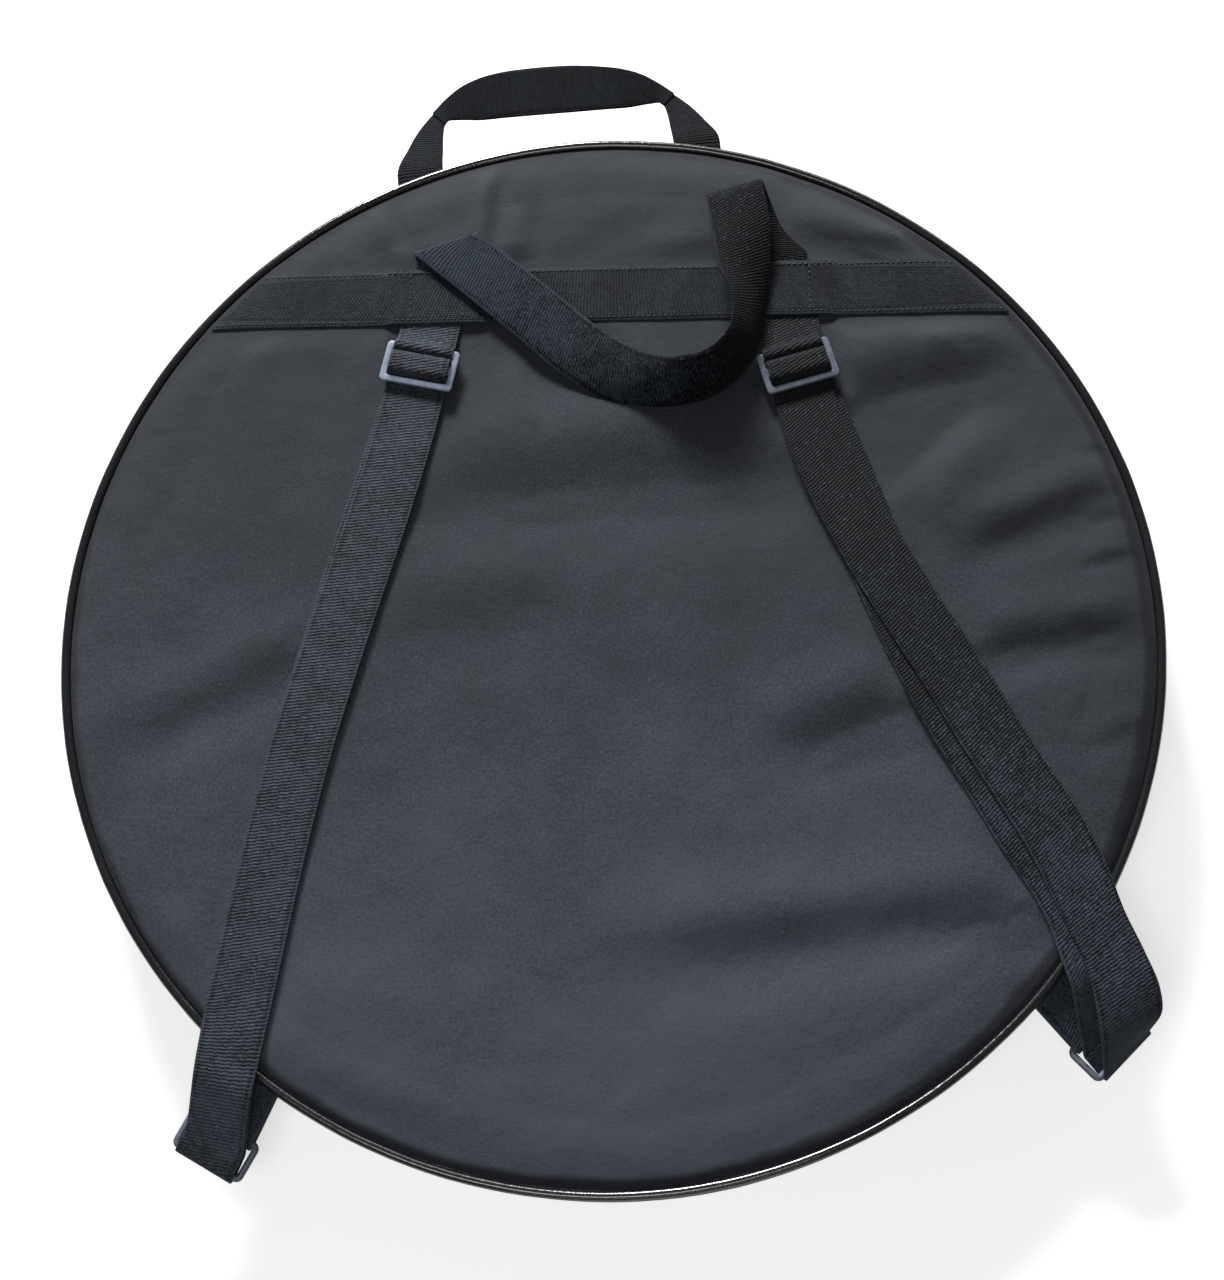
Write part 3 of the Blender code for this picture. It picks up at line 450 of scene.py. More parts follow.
def grey(value: float, warm: float = 0.0) -> Colour:
    """A slightly blue grey, or a warmer one, as a linear colour."""
    return (value * (0.85 + warm), value * 0.98, value * (1.25 - warm), 1.0)


@dataclass(frozen=True)
class Finish:
    """The look of a material: its name and the name of a slot that it keeps."""

    name: str
    slot: str

    def sockets(self, r: Recipe) -> dict[str, Signal | float]:
        """The values of the Principled shader's sockets."""
        raise NotImplementedError

    def material(self) -> bpy.types.Material:
        """Build the material.

        Returns:
            The material.
        """
        recipe = Recipe(bpy.data.materials.new(self.name))
        recipe.close(recipe.node("ShaderNodeBsdfPrincipled", {}, self.sockets(recipe)))
        return recipe.owner


@dataclass(frozen=True)
class ShellCloth(Finish):
    """The tight plain-woven polyester of the panels and gusset."""

    name: str = "Shell_Cloth"
    slot: str = "shell_fabric"
    dark: float = 0.031
    light: float = 0.066
    thread: float = 0.00062
    weave_depth: float = 0.00022
    crumple_depth: float = 0.0016
    # rim: weight of the painted shade along the panel's rim, 0 for none.
    rim: float = 0.0

    def sockets(self, r: Recipe) -> dict[str, Signal | float]:
        """Threads, slubs, random soft patches, crumple bumps, a worn bloom, painted shade that darkens the
        cloth towards the far side and the right, and painted shade along the rim.

        Args:
            r: The material's recipe.

        Returns:
            Values and links by the sockets' names.
        """
        cloth = r.weave_map()
        side, along = r.split(cloth)
        drift = r.cloud(cloth, 90.0, 2.0) * 3.0
        checks = side.wave(self.thread, drift) * along.wave(self.thread, drift) * 0.5 + 0.5
        slubs = r.cloud(r.stretched(cloth, (1.0, 0.16, 1.0)), 1500.0, 2.0, 0.6)
        slubs = slubs + r.cloud(r.stretched(cloth, (0.16, 1.0, 1.0)), 1500.0, 2.0, 0.6)
        grain = r.cloud(cloth, 640.0, 3.0, 0.62)
        spot = r.place()
        patches = r.cloud(spot, 9.0, 4.0, 0.5)
        bloom = r.cloud(spot, 42.0, 5.0, 0.62)
        right, far = r.split(spot)
        # Painted shade: a slope of tone, darker towards the far side and the right, standing in for how the
        # light falls on the panel.
        painted_shade_slope = right * -0.6 - far * 3.2 - right * right * 4.0
        mottle = grain.swing(2.3) + (slubs - 1.0) * 0.8
        tone = 0.25 + patches.swing(1.3) + bloom.swing(0.8) + painted_shade_slope + mottle + checks.swing(0.16)
        specks = r.cloud(cloth, 620.0, 1.0).step(0.68, 0.78)
        colour = r.blend(tone, grey(self.dark), grey(self.light))
        colour = r.blend(specks * 0.30, colour, grey(self.light * 1.9))
        # Painted shade along the rim, where the panel rolls down into its seam; the band is wider on the
        # right.
        if self.rim:
            share = (right * right + far * far) / LAYOUT.gusset**2
            shade = (share + right * 0.06 + r.cloud(spot, 26.0).swing(0.05)).step(0.950, 0.978)
            colour = r.blend(shade * self.rim, colour, grey(self.dark * 0.3))
        crumple = r.relief(r.cloud(spot, 60.0), self.crumple_depth, 0.6)
        height = checks * 0.4 + slubs * 0.4 + grain
        return {
            "Base Color": colour,
            "Roughness": 0.78 + bloom.swing(0.22),
            "Specular IOR Level": 0.22,
            "Sheen Weight": 0.20,
            "Sheen Roughness": 0.45,
            "Normal": r.relief(height, self.weave_depth, 0.9, Normal=crumple),
        }


class WebTone(Enum):
    """Tones of the webbing in its places, its gloss, and how steeply painted shade darkens it towards the
    right and the far side.
    """

    BAND = (0.006, 0.028, 0.18, -0.6, 0.0)
    # LOOP: painted shade darkens the loop steeply towards the right, where it rises.
    LOOP = (0.002, 0.034, 0.10, -10.0, 0.0)
    STRAP = (0.008, 0.050, 0.24, -1.5, 0.0)
    # SHADED: the right strap's shaded copy of STRAP, with painted shade, darker overall and darker towards
    # the far side.
    SHADED = (0.006, 0.046, 0.18, -1.5, -6.0)
    LEG = (0.002, 0.011, 0.08, -1.5, 0.0)
    HANDLE = (0.0015, 0.010, 0.06, -1.5, 0.0)


@dataclass(frozen=True)
class WebbingWeave(Finish):
    """Ribbed polypropylene webbing with firm edges."""

    slot: str = "webbing"
    tone: WebTone = WebTone.STRAP
    slant: float = 0.0
    rib: float = 0.0018
    cord: float = 0.0013
    zigzag: float = 0.0052
    rib_depth: float = 0.00042
    selvage: tuple[float, float] = (0.0017, 0.0007)
    # Painted shade line just inside each edge: where it starts and ends, measured in from the edge.
    edge_shade: tuple[float, float] = (0.0036, 0.0022)

    def sockets(self, r: Recipe) -> dict[str, Signal | float]:
        """Ribs, yarn flecks, lighter edges, a painted shade line inside each edge, wear, and painted shade
        towards the right and the far side.

        Args:
            r: The material's recipe.

        Returns:
            Values and links by the sockets' names.
        """
        dark, light, gloss, right_shade_slope, far_shade_slope = self.tone.value
        cloth = r.weave_map()
        side, along = r.split(cloth)
        turn = 2 * pi / self.rib
        drift = r.cloud(cloth, 160.0, 2.0)
        ribs = along * turn + side.wave(self.zigzag) * 0.5 + drift * 1.8 + side * (turn * self.slant)
        ribs = ribs.sine() * 0.5 + 0.5
        cords = side.wave(self.cord, drift * 2.0) * 0.5 + 0.5
        flecks = r.cloud(r.stretched(cloth, (0.6, 1.0, 1.0), self.slant), 900.0, 3.0, 0.65)
        yarns = r.cloud(r.stretched(cloth, (1.0, 0.35, 1.0)), 700.0, 2.0, 0.6)
        spot = r.place()
        wear = r.cloud(spot, 34.0, 5.0, 0.68)
        edge = side.size().step(*(WEB.width / 2 - place for place in self.selvage))
        # Painted shade: a dark line just inside each lighter edge.
        edge_shade = side.size().step(*(WEB.width / 2 - place for place in self.edge_shade)) - edge
        right, far = r.split(spot)
        # Painted shade: the tone falls off towards the right and the far side by the tone's two slopes.
        painted_shade_slope = right * right_shade_slope + (far + 0.06) * far_shade_slope
        blotch = r.cloud(cloth, 240.0, 3.0, 0.7)
        tone = 0.40 + flecks.swing(4.2) + ribs.swing(0.5) + cords.swing(0.12) + wear.swing(3.0)
        tone = tone + edge * 0.4 - edge_shade * 0.5 + blotch.swing(2.2) + painted_shade_slope
        colour = r.blend(tone, grey(dark, -0.10), grey(light, -0.10))
        fuzz = (yarns + flecks * 0.5).step(0.86, 0.98)
        height = ribs * (1 - edge * 0.6) * (0.55 + cords * 0.45) + flecks * 0.35
        return {
            "Base Color": r.blend(fuzz * 0.5, colour, grey(light * 2.2, -0.05)),
            "Roughness": 0.70 + wear.swing(0.25),
            "Specular IOR Level": gloss,
            "Sheen Weight": gloss * 0.3,
            "Sheen Roughness": 0.5,
            "Normal": r.relief(height, self.rib_depth),
        }


@dataclass(frozen=True)
class GlossCord(Finish):
    """The coated cord of the piping."""

    name: str = "Gloss_Cord"
    slot: str = "piping"
    dark: Colour = (0.004, 0.0045, 0.006, 1.0)
    light: Colour = (0.016, 0.018, 0.022, 1.0)
    lump_depth: float = 0.0005

    def sockets(self, r: Recipe) -> dict[str, Signal | float]:
        """Dull and bright lengths, lumps and dust.

        Args:
            r: The material's recipe.

        Returns:
            Values and links by the sockets' names.
        """
        spot = r.place()
        dull = r.cloud(spot, 26.0, 4.0, 0.6)
        dust = r.cloud(spot, 900.0, 2.0).step(0.60, 0.75)
        return {
            "Base Color": r.blend(dull * 0.8 + dust * 0.25, self.dark, self.light),
            "Roughness": 0.12 + dull * 0.18 + dust * 0.15,
            "Specular IOR Level": 0.8,
            "Coat Weight": 0.9 - dull * 0.6 - dust * 0.3,
            "Coat Roughness": 0.10,
            "Normal": r.relief(r.cloud(spot, 300.0, 3.0, 0.5), self.lump_depth, 0.35),
        }


@dataclass(frozen=True)
class LiningCloth(Finish):
    """The thin ripstop lining."""

    name: str = "Lining_Cloth"
    slot: str = "lining"
    dark: Colour = (0.020, 0.021, 0.024, 1.0)
    light: Colour = (0.055, 0.057, 0.063, 1.0)
    grid: float = 0.006
    thread: float = 0.0005
    weave_depth: float = 0.00015
    crease_depth: float = 0.004

    def sockets(self, r: Recipe) -> dict[str, Signal | float]:
        """Fine weave, ripstop lines and soft creases.

        Args:
            r: The material's recipe.

        Returns:
            Values and links by the sockets' names.
        """
        side, along = r.split(r.weave_map())
        grid = side.wave(self.grid).step(0.93, 1.0) + along.wave(self.grid).step(0.93, 1.0)
        fine = side.wave(self.thread) * along.wave(self.thread)
        spot = r.place()
        patches = r.cloud(spot, 14.0, 5.0, 0.6)
        crease = r.relief(r.cloud(spot, 26.0, 4.0, 0.6), self.crease_depth, 0.5)
        return {
            "Base Color": r.blend(patches * 0.7 + fine * 0.12 + grid * 0.18, self.dark, self.light),
            "Roughness": 0.52 + patches.swing(0.2),
            "Specular IOR Level": 0.4,
            "Sheen Weight": 0.15,
            "Normal": r.relief(grid * 0.6 + fine * 0.4, self.weave_depth, 0.8, Normal=crease),
        }


@dataclass(frozen=True)
class TapeWeave(Finish):
    """The herringbone tape of the zip."""

    name: str = "Zip_Tape"
    slot: str = "zip_tape"
    dark: Colour = (0.008, 0.0085, 0.010, 1.0)
    light: Colour = (0.034, 0.036, 0.042, 1.0)
    row: float = 0.0012
    zigzag: float = 0.0024
    row_depth: float = 0.0002

    def sockets(self, r: Recipe) -> dict[str, Signal | float]:
        """Herringbone rows and wear.

        Args:
            r: The material's recipe.

        Returns:
            Values and links by the sockets' names.
        """
        side, along = r.split(r.weave_map())
        rows = side.wave(self.row, along.wave(self.zigzag) * 2.2) * 0.5 + 0.5
        wear = r.cloud(r.place(), 60.0, 4.0, 0.6)
        return {
            "Base Color": r.blend(rows * 0.5 + wear * 0.5, self.dark, self.light),
            "Roughness": 0.72 + wear.swing(0.3),
            "Specular IOR Level": 0.3,
            "Normal": r.relief(rows, self.row_depth, 0.9),
        }


@dataclass(frozen=True)
class Moulded(Finish):
    """Moulded nylon or acetal, satin, with scuffs."""

    dark: float
    light: float
    roughness: float
    sideways_shade: float = 0.0
    peel_depth: float = 0.00005

    def sockets(self, r: Recipe) -> dict[str, Signal | float]:
        """Faint orange peel, scuffs, paler rubbed places and painted shade that changes the tone from left to
        right.

        Args:
            r: The material's recipe.

        Returns:
            Values and links by the sockets' names.
        """
        spot = r.place()
        peel = r.cloud(spot, 2600.0, 2.0)
        scuffs = r.cloud(r.stretched(spot, (1.0, 0.2, 1.0), 0.6), 900.0, 3.0, 0.7).step(0.52, 0.72)
        rubbed = r.cloud(spot, 160.0, 4.0, 0.6)
        # Painted shade: the tone changes along X, so a negative slope makes the right-hand buckle darker.
        tone = rubbed * 0.8 + scuffs * 0.3 + r.split(spot)[0] * self.sideways_shade
        return {
            "Base Color": r.blend(tone, grey(self.dark), grey(self.light)),
            "Roughness": self.roughness + rubbed.swing(0.18) + scuffs * 0.12,
            "Specular IOR Level": 0.5,
            "Normal": r.relief(peel * 0.5 + scuffs * 0.5, self.peel_depth, 0.6),
        }


@dataclass(frozen=True)
class CoatedMetal(Finish):
    """Black coated zinc, rubbed bright in places."""

    name: str = "Coated_Metal"
    slot: str = "slider_metal"
    coat: Colour = (0.022, 0.023, 0.026, 1.0)
    bare: Colour = (0.30, 0.30, 0.31, 1.0)
    pit_depth: float = 0.00006

    def sockets(self, r: Recipe) -> dict[str, Signal | float]:
        """The coating and the metal that shows through it.

        Args:
            r: The material's recipe.

        Returns:
            Values and links by the sockets' names.
        """
        spot = r.place()
        worn = r.cloud(spot, 420.0, 5.0, 0.65).step(0.56, 0.66)
        pits = r.cloud(spot, 1900.0, 2.0)
        return {
            "Base Color": r.blend(worn * 0.6, self.coat, self.bare),
            "Metallic": 0.75 + worn * 0.25,
            "Roughness": 0.34 + pits * 0.16 - worn * 0.08,
            "Normal": r.relief(pits, self.pit_depth, 0.6),
        }


@dataclass(frozen=True)
class Thread(Finish):
    """Twisted sewing thread."""

    name: str = "Sewing_Thread"
    slot: str = "webbing"
    dark: Colour = (0.014, 0.0145, 0.017, 1.0)
    light: Colour = (0.062, 0.064, 0.072, 1.0)
    ply_depth: float = 0.0001

    def sockets(self, r: Recipe) -> dict[str, Signal | float]:
        """A ply twist and its sheen.

        Args:
            r: The material's recipe.

        Returns:
            Values and links by the sockets' names.
        """
        spot = r.place()
        ply = r.cloud(r.stretched(spot, (1.0, 0.5, 1.0), 0.7), 2400.0, 2.0)
        return {
            "Base Color": r.blend(ply * 0.6 + r.cloud(spot, 80.0, 2.0) * 0.4, self.dark, self.light),
            "Roughness": 0.5 + ply.swing(0.2),
            "Specular IOR Level": 0.4,
            "Normal": r.relief(ply, self.ply_depth, 0.8),
        }


# Modelling tools


class Bench:
    """The tools that the sub-assemblies are modelled with."""

    def __init__(self) -> None:
        """Start with no materials made."""
        self.made: dict[str, bpy.types.Material] = {}

    def take(self, obj: bpy.types.Object) -> None:
        """Make an object the only selected one and the active one.

        Args:
            obj: The object.
        """
        bpy.ops.object.select_all(action="DESELECT")
        obj.select_set(True)
        bpy.context.view_layer.objects.active = obj

    def ball(self, segments: int, rings: int) -> bpy.types.Object:
        """A ball of 1 m radius, to be shaped and copied."""
        bpy.ops.mesh.primitive_uv_sphere_add(segments=segments, ring_count=rings, radius=1.0)
        return bpy.context.object

    def cloth(
        self, name: str, columns: int, rows: int, place: Place, weave: Place | None = None
    ) -> bpy.types.Object:
        """A grid that is laid on a shape, with a map of its cloth.

        Args:
            name: The piece's name.
            columns: Faces along the first direction.
            rows: Faces along the second direction.
            place: Gives the place for the two directions, each from 0 to 1.
            weave: Gives the cloth's map in metres, or the place's own X and Y if left out.

        Returns:
            The open sheet.
        """
        bpy.ops.mesh.primitive_grid_add(x_subdivisions=columns, y_subdivisions=rows, size=2.0)
        obj = bpy.context.object
        obj.name = obj.data.name = name
        shares = read_points(obj.data)[:, :2] * 0.5 + 0.5
        placed = np.array([place(a, b) for a, b in shares])
        maps = placed[:, :2] if weave is None else np.array([weave(a, b)[:2] for a, b in shares])
        layer = obj.data.uv_layers.active
        layer.name = "Weave"
        corners = np.zeros(len(obj.data.loops), int)
        obj.data.loops.foreach_get("vertex_index", corners)
        layer.data.foreach_set("uv", maps[corners].astype(np.float32).ravel())
        write_points(obj.data, placed)
        return obj

    def modify(self, obj: bpy.types.Object, kind: str, **settings: object) -> None:
        """Add a modifier with its settings and apply it.

        Args:
            obj: The piece.
            kind: The modifier's type.
            settings: Its settings.
        """
        self.take(obj)
        modifier = obj.modifiers.new(kind.lower(), kind)
        for name, value in settings.items():
            setattr(modifier, name, value)
        bpy.ops.object.modifier_apply(modifier=modifier.name)

    def thicken(self, obj: bpy.types.Object, thickness: float) -> None:
        """Give a sheet its thickness, behind its face."""
        self.modify(obj, "SOLIDIFY", thickness=thickness, offset=-1.0)

    def ease(self, obj: bpy.types.Object, width: float, angle: float = 60.0, segments: int = 2) -> None:
        """Bevel the edges that turn by more than an angle in degrees.

        Args:
            obj: The piece.
            width: Width of the bevel.
            angle: The angle.
            segments: Faces across it.
        """
        self.modify(
            obj, "BEVEL", width=width, segments=segments, limit_method="ANGLE", angle_limit=radians(angle)
        )

    def edit(self, obj: bpy.types.Object, *steps: Callable[[], object]) -> None:
        """Run edit-mode steps on everything in a mesh.

        Args:
            obj: The piece.
            steps: The steps in their order.
        """
        self.take(obj)
        bpy.ops.object.mode_set(mode="EDIT")
        bpy.ops.mesh.select_all(action="SELECT")
        for step in steps:
            step()
        bpy.ops.object.mode_set(mode="OBJECT")

    @staticmethod
    def merge() -> None:
        """In edit mode, join the doubled points."""
        bpy.ops.mesh.remove_doubles(threshold=0.00002)

    def close_seam(self, obj: bpy.types.Object) -> None:
        """Join the sheet's edges where they meet and turn the faces outwards."""
        self.edit(obj, self.merge, lambda: bpy.ops.mesh.normals_make_consistent(inside=False))

    def smooth(self, obj: bpy.types.Object, angle: float = 50.0) -> None:
        """Shade a piece smooth but for its true edges."""
        self.take(obj)
        bpy.ops.object.shade_smooth_by_angle(angle=radians(angle))

    def finish(
        self, obj: bpy.types.Object, finish: Finish, body: str | None, *nodes: str
    ) -> bpy.types.Object:
        """Give a piece its finish, its body and the nodes that it stands for.

        Args:
            obj: The piece.
            finish: One of the finishes.
            body: The CAD body that it rides on, or None to leave it unattached.
            nodes: The CAD nodes that it replaces.

        Returns:
            The piece.
        """
        if finish.name not in self.made:
            self.made[finish.name] = finish.material()
        obj.data.materials.clear()
        obj.data.materials.append(self.made[finish.name])
        if nodes:
            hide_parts(*nodes)
        if body is not None:
            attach(obj, body)
        LOG.info("%s: %d faces", obj.name, len(obj.data.polygons))
        return obj

    def repeat(self, name: str, unit: bpy.types.Object, places: Iterable[Matrix]) -> bpy.types.Object:
        """One mesh from many placed copies of a unit, which is removed.

        Args:
            name: The piece's name.
            unit: The unit, modelled round the origin.
            places: Where each copy goes.

        Returns:
            The piece that holds all the copies.
        """
        base = np.array([v.co for v in unit.data.vertices])
        shape = [tuple(p.vertices) for p in unit.data.polygons]
        points, faces = [], []
        for matrix in places:
            turned = np.array(matrix)
            start = len(points) * len(base)
            points.append(base @ turned[:3, :3].T + turned[:3, 3])
            faces += [tuple(i + start for i in corner) for corner in shape]
        mesh = bpy.data.meshes.new(name)
        mesh.from_pydata(np.concatenate(points).tolist(), [], faces)
        mesh.shade_smooth()
        bpy.data.objects.remove(unit, do_unlink=True)
        return add_object(name, mesh)

    def stitches(self, name: str, runs: Sequence[Sequence[Pair]], body: str) -> None:
        """Rows of sewn stitches, modelled as one stitch and copied.

        Args:
            name: The piece's name.
            runs: Lines of place and outward direction along each row.
            body: The CAD body that they ride on.
        """
        pitch, wide, high = 0.0032, 0.00034, 0.00036
        stitch = self.ball(6, 5)
        for vertex in stitch.data.vertices:
            x, y, z = vertex.co
            vertex.co = (x * pitch * 0.42, y * wide, (z - 0.55 * x * x) * high)
        places = []
        for run in runs:
            spots = [spot for spot, _ in run]
            total = sum((b - a).length for a, b in zip(spots, spots[1:]))
            count = max(int(total / pitch), 1)
            travelled, k = 0.0, 0
            for (a, up), (b, _) in zip(run, run[1:]):
                step = (b - a).length
                while k < count and (k + 0.5) * total / count <= travelled + step:
                    share = ((k + 0.5) * total / count - travelled) / max(step, 1e-9)
                    forward = (b - a).normalized()
                    side = up.cross(forward).normalized()
                    turned = Matrix((forward, side, forward.cross(side))).transposed().to_4x4()
                    places.append(Matrix.Translation(a + (b - a) * share) @ turned)
                    k += 1
                travelled += step
        self.finish(self.repeat(name, stitch, places), Thread(), body)

    def ribbon(
        self,
        name: str,
        pairs: Sequence[Pair],
        tone: WebTone,
        body: str | None,
        *nodes: str,
        cyclic: bool = False,
        crowns: Sequence[float] = (),
        thick: float = WEB.thick,
        slant: float = 0.0,
    ) -> bpy.types.Object:
        """A length of webbing with its thickness, firm edges and cloth map.

        Args:
            name: The piece's name.
            pairs: Edge points along it.
            tone: Its tone.
            body: The CAD body that it rides on, or None.
            nodes: The CAD nodes that it replaces.
            cyclic: Whether it closes on itself.
            crowns: How far its middle stands above its edges at each pair.
            thick: Its thickness.
            slant: Slant of its weave.

        Returns:
            The piece.
        """
        line = list(pairs) + ([pairs[0]] if cyclic else [])
        middles = [(a + b) / 2 for a, b in line]
        lengths = [0.0]
        for here, there in zip(middles, middles[1:]):
            lengths.append(lengths[-1] + (there - here).length)
        count = len(line) - 1

        def place(side: float, along: float) -> Point:
            """The place on the webbing.

            Args:
                side: Share across the webbing.
                along: Share along it.

            Returns:
                The place.
            """
            k = round(along * count)
            a, b = line[k]
            before, after = middles[max(k - 1, 0)], middles[min(k + 1, count)]
            up = (b - a).cross(after - before).normalized()
            crown = crowns[k] if crowns else 0.0
            lift = up * (-crown * (1 - (2 * side - 1) ** 2))
            return tuple(a + (b - a) * side + lift)

        def weave(side: float, along: float) -> Point:
            """The cloth's map.

            Args:
                side: Share across the webbing.
                along: Share along it.

            Returns:
                Metres across and along.
            """
            k = round(along * count)
            width = (line[k][1] - line[k][0]).length
            return (side - 0.5) * width, lengths[k], 0.0

        obj = self.cloth(name, 8, count, place, weave)
        if cyclic:
            self.close_seam(obj)
        self.modify(obj, "SOLIDIFY", thickness=thick, offset=0.0, use_even_offset=True)
        self.ease(obj, thick * 0.3)
        self.smooth(obj, 38.0)
        finish = WebbingWeave("Webbing_" + tone.name.title(), tone=tone, slant=slant)
        return self.finish(obj, finish, body, *nodes)

    def softened(self, node: str, name: str, bevel: float, finish: Finish, body: str) -> None:
        """A rigid node's copy with eased edges, which stands for the node.

        Args:
            node: The CAD node.
            name: The piece's name.
            bevel: Width of the eased edges.
            finish: Its finish.
            body: The CAD body that it rides on.
        """
        obj = add_object(name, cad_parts[node].data.copy())
        obj.data.materials.clear()
        self.edit(obj, self.merge, lambda: bpy.ops.mesh.dissolve_limited(angle_limit=radians(3)))
        self.ease(obj, bevel, 35.0, 3)
        self.smooth(obj, 30.0)
        self.finish(obj, finish, body, node)


# Panels, linings and gusset


@dataclass(frozen=True)
class Fold:
    """A soft fold in a panel, which stands up on the left of its direction and sinks on its right.

    Attributes:
        x: Its middle along X.
        y: Its middle along Y.
        turn: Its direction in degrees.
        length: Half its length.
        width: How far its crest lies from its middle line.
        height: Height of its crest and depth of its hollow.
    """

    x: float
    y: float
    turn: float
    length: float
    width: float
    height: float

    def lift(self, x: float, y: float) -> float:
        """How far it lifts a place on the panel.

        Args:
            x: The place's X.
            y: The place's Y.

        Returns:
            The lift, below 0 in the hollow.
        """
        angle = radians(self.turn)
        along = (x - self.x) * cos(angle) + (y - self.y) * sin(angle)
        aside = (y - self.y) * cos(angle) - (x - self.x) * sin(angle)
        slope = aside / self.width
        return self.height * slope * exp(0.5 - slope * slope / 2 - (along / self.length) ** 4)


@dataclass
class BackPanel:
    """The padded back panel: cloth over foam, blown up a little and drawn in at its seam."""

    cells: int = 136
    steps: int = 20
    pressure: float = 1.2
    slack: float = 0.010
    cap: float = 0.0024
    dip: float = 0.0004
    pinned: float = 0.0035
    hem: float = 0.0014
    hem_radius: float = 0.262
    hem_width: float = 0.018
    sink: float = 0.0028
    rim_fade: float = 0.016
    pucker: float = 0.0006
    pucker_width: float = 0.012
    band_line: float = 0.193
    cover: float = 0.020
    cover_fade: float = 0.012
    folds: tuple[Fold, ...] = (
        Fold(0.010, 0.092, 5, 0.105, 0.0240, 0.0044),
        Fold(-0.205, -0.034, 27, 0.056, 0.0130, 0.0021),
        Fold(0.168, 0.140, 16, 0.054, 0.0200, 0.0046),
        Fold(0.231, 0.058, 22, 0.046, 0.0110, 0.0029),
        Fold(0.235, -0.008, 8, 0.046, 0.0110, 0.0028),
        Fold(0.138, -0.047, 20, 0.055, 0.0160, 0.0034),
        Fold(0.122, -0.158, 7, 0.104, 0.0150, 0.0031),
        Fold(0.274, 0.099, 17, 0.017, 0.0040, 0.0008),
        Fold(0.269, 0.058, 16, 0.014, 0.0040, 0.0008),
        Fold(0.265, 0.033, 13, 0.015, 0.0040, 0.0008),
        Fold(0.262, -0.062, 27, 0.016, 0.0050, 0.0006),
        Fold(-0.124, 0.241, 103, 0.017, 0.0050, 0.0016),
        Fold(-0.065, 0.247, 86, 0.024, 0.0050, 0.0018),
        Fold(-0.044, 0.229, 99, 0.019, 0.0060, 0.0013),
        Fold(0.172, 0.215, 108, 0.023, 0.0080, 0.0015),
        Fold(-0.078, 0.010, 13, 0.060, 0.0210, 0.0017),
        Fold(-0.042, 0.135, 104, 0.022, 0.0070, 0.0011),
        Fold(0.056, -0.050, 93, 0.066, 0.0160, 0.0009),
        Fold(0.176, 0.088, 50, 0.034, 0.0130, -0.0026),
        Fold(-0.097, -0.248, -16, 0.051, 0.0120, 0.0009),
        Fold(-0.259, -0.121, -64, 0.041, 0.0140, -0.0008),
        Fold(0.017, 0.221, 18, 0.028, 0.0100, -0.0007),
        Fold(0.138, 0.220, -16, 0.036, 0.0100, 0.0022),
    )

    @staticmethod
    def place(a: float, b: float) -> Point:
        """The place on the profile that the sheet is blown up from."""
        x, y = on_disc(a, b, LAYOUT.gusset)
        return x, y, LAYOUT.panel_height(hypot(x, y)) + 0.0003 * unrest(x, y, 30.0)

    def blow_up(self, obj: bpy.types.Object) -> np.ndarray:
        """Run the cloth on a copy of the sheet and read how far it lifts each point.

        Args:
            obj: The open sheet.

        Returns:
            The lift of each point.
        """
        scene = bpy.context.scene
        trial = add_object("Trial", obj.data.copy())
        pinned = trial.vertex_groups.new(name="seam")
        start = LAYOUT.gusset - self.pinned
        pinned.add([v.index for v in trial.data.vertices if hypot(v.co.x, v.co.y) > start], 1.0, "REPLACE")
        cloth = trial.modifiers.new("cloth", "CLOTH")
        for name, value in {
            "vertex_group_mass": "seam",
            "use_pressure": True,
            "uniform_pressure_force": self.pressure,
            "shrink_min": -self.slack,
            "tension_stiffness": 25,
            "compression_stiffness": 25,
            "shear_stiffness": 8,
            "bending_stiffness": 1.2,
            "quality": 6,
        }.items():
            setattr(cloth.settings, name, value)
        cloth.settings.effector_weights.gravity = 0
        cloth.point_cache.frame_end = self.steps
        for step in range(1, self.steps + 1):
            scene.frame_set(step)
        blown = trial.evaluated_get(bpy.context.evaluated_depsgraph_get())
        lifts = (read_points(blown.data) - read_points(trial.data))[:, 2]
        bpy.data.objects.remove(trial, do_unlink=True)
        scene.frame_set(1)
        return lifts

    def settle(self, obj: bpy.types.Object, lifts: np.ndarray) -> None:
        """Lay the lifts and folds on the sheet, kept down under the webbing.

        Args:
            obj: The sheet.
            lifts: How far each point was blown up.
        """
        points = read_points(obj.data)
        middle = np.hypot(points[:, 0], points[:, 1]) < 0.2
        lifts = lifts - lifts[middle].mean()
        for point, lift in zip(points, lifts):
            x, y, _ = point
            radius = hypot(x, y)
            near = clamp((LAYOUT.gusset - 0.002 - radius) / self.rim_fade)
            near = near * (2 - near)
            soft = sum(fold.lift(x, y) for fold in self.folds)
            soft += 0.0016 * unrest(x, y, 9.0, 3.1) + 0.0006 * unrest(x, y, 27.0, 7.7)
            rise = max(max(min(lift, self.cap), -self.dip) + soft, -self.sink)
            rise += self.hem * exp(-(((radius - self.hem_radius) / self.hem_width) ** 2))
            cover = self.webbing_over(x, y)
            rise = rise * (1 - cover) + min(rise, -0.0001) * cover
            pucker = self.pucker * unrest(atan2(y, x) * 14, radius * 18, 1.0, 5.0)
            pucker *= exp(-(((LAYOUT.gusset - self.pucker_width - radius) / self.pucker_width) ** 2))
            point[2] += rise * near + pucker * (1 - cover)
        write_points(obj.data, points)

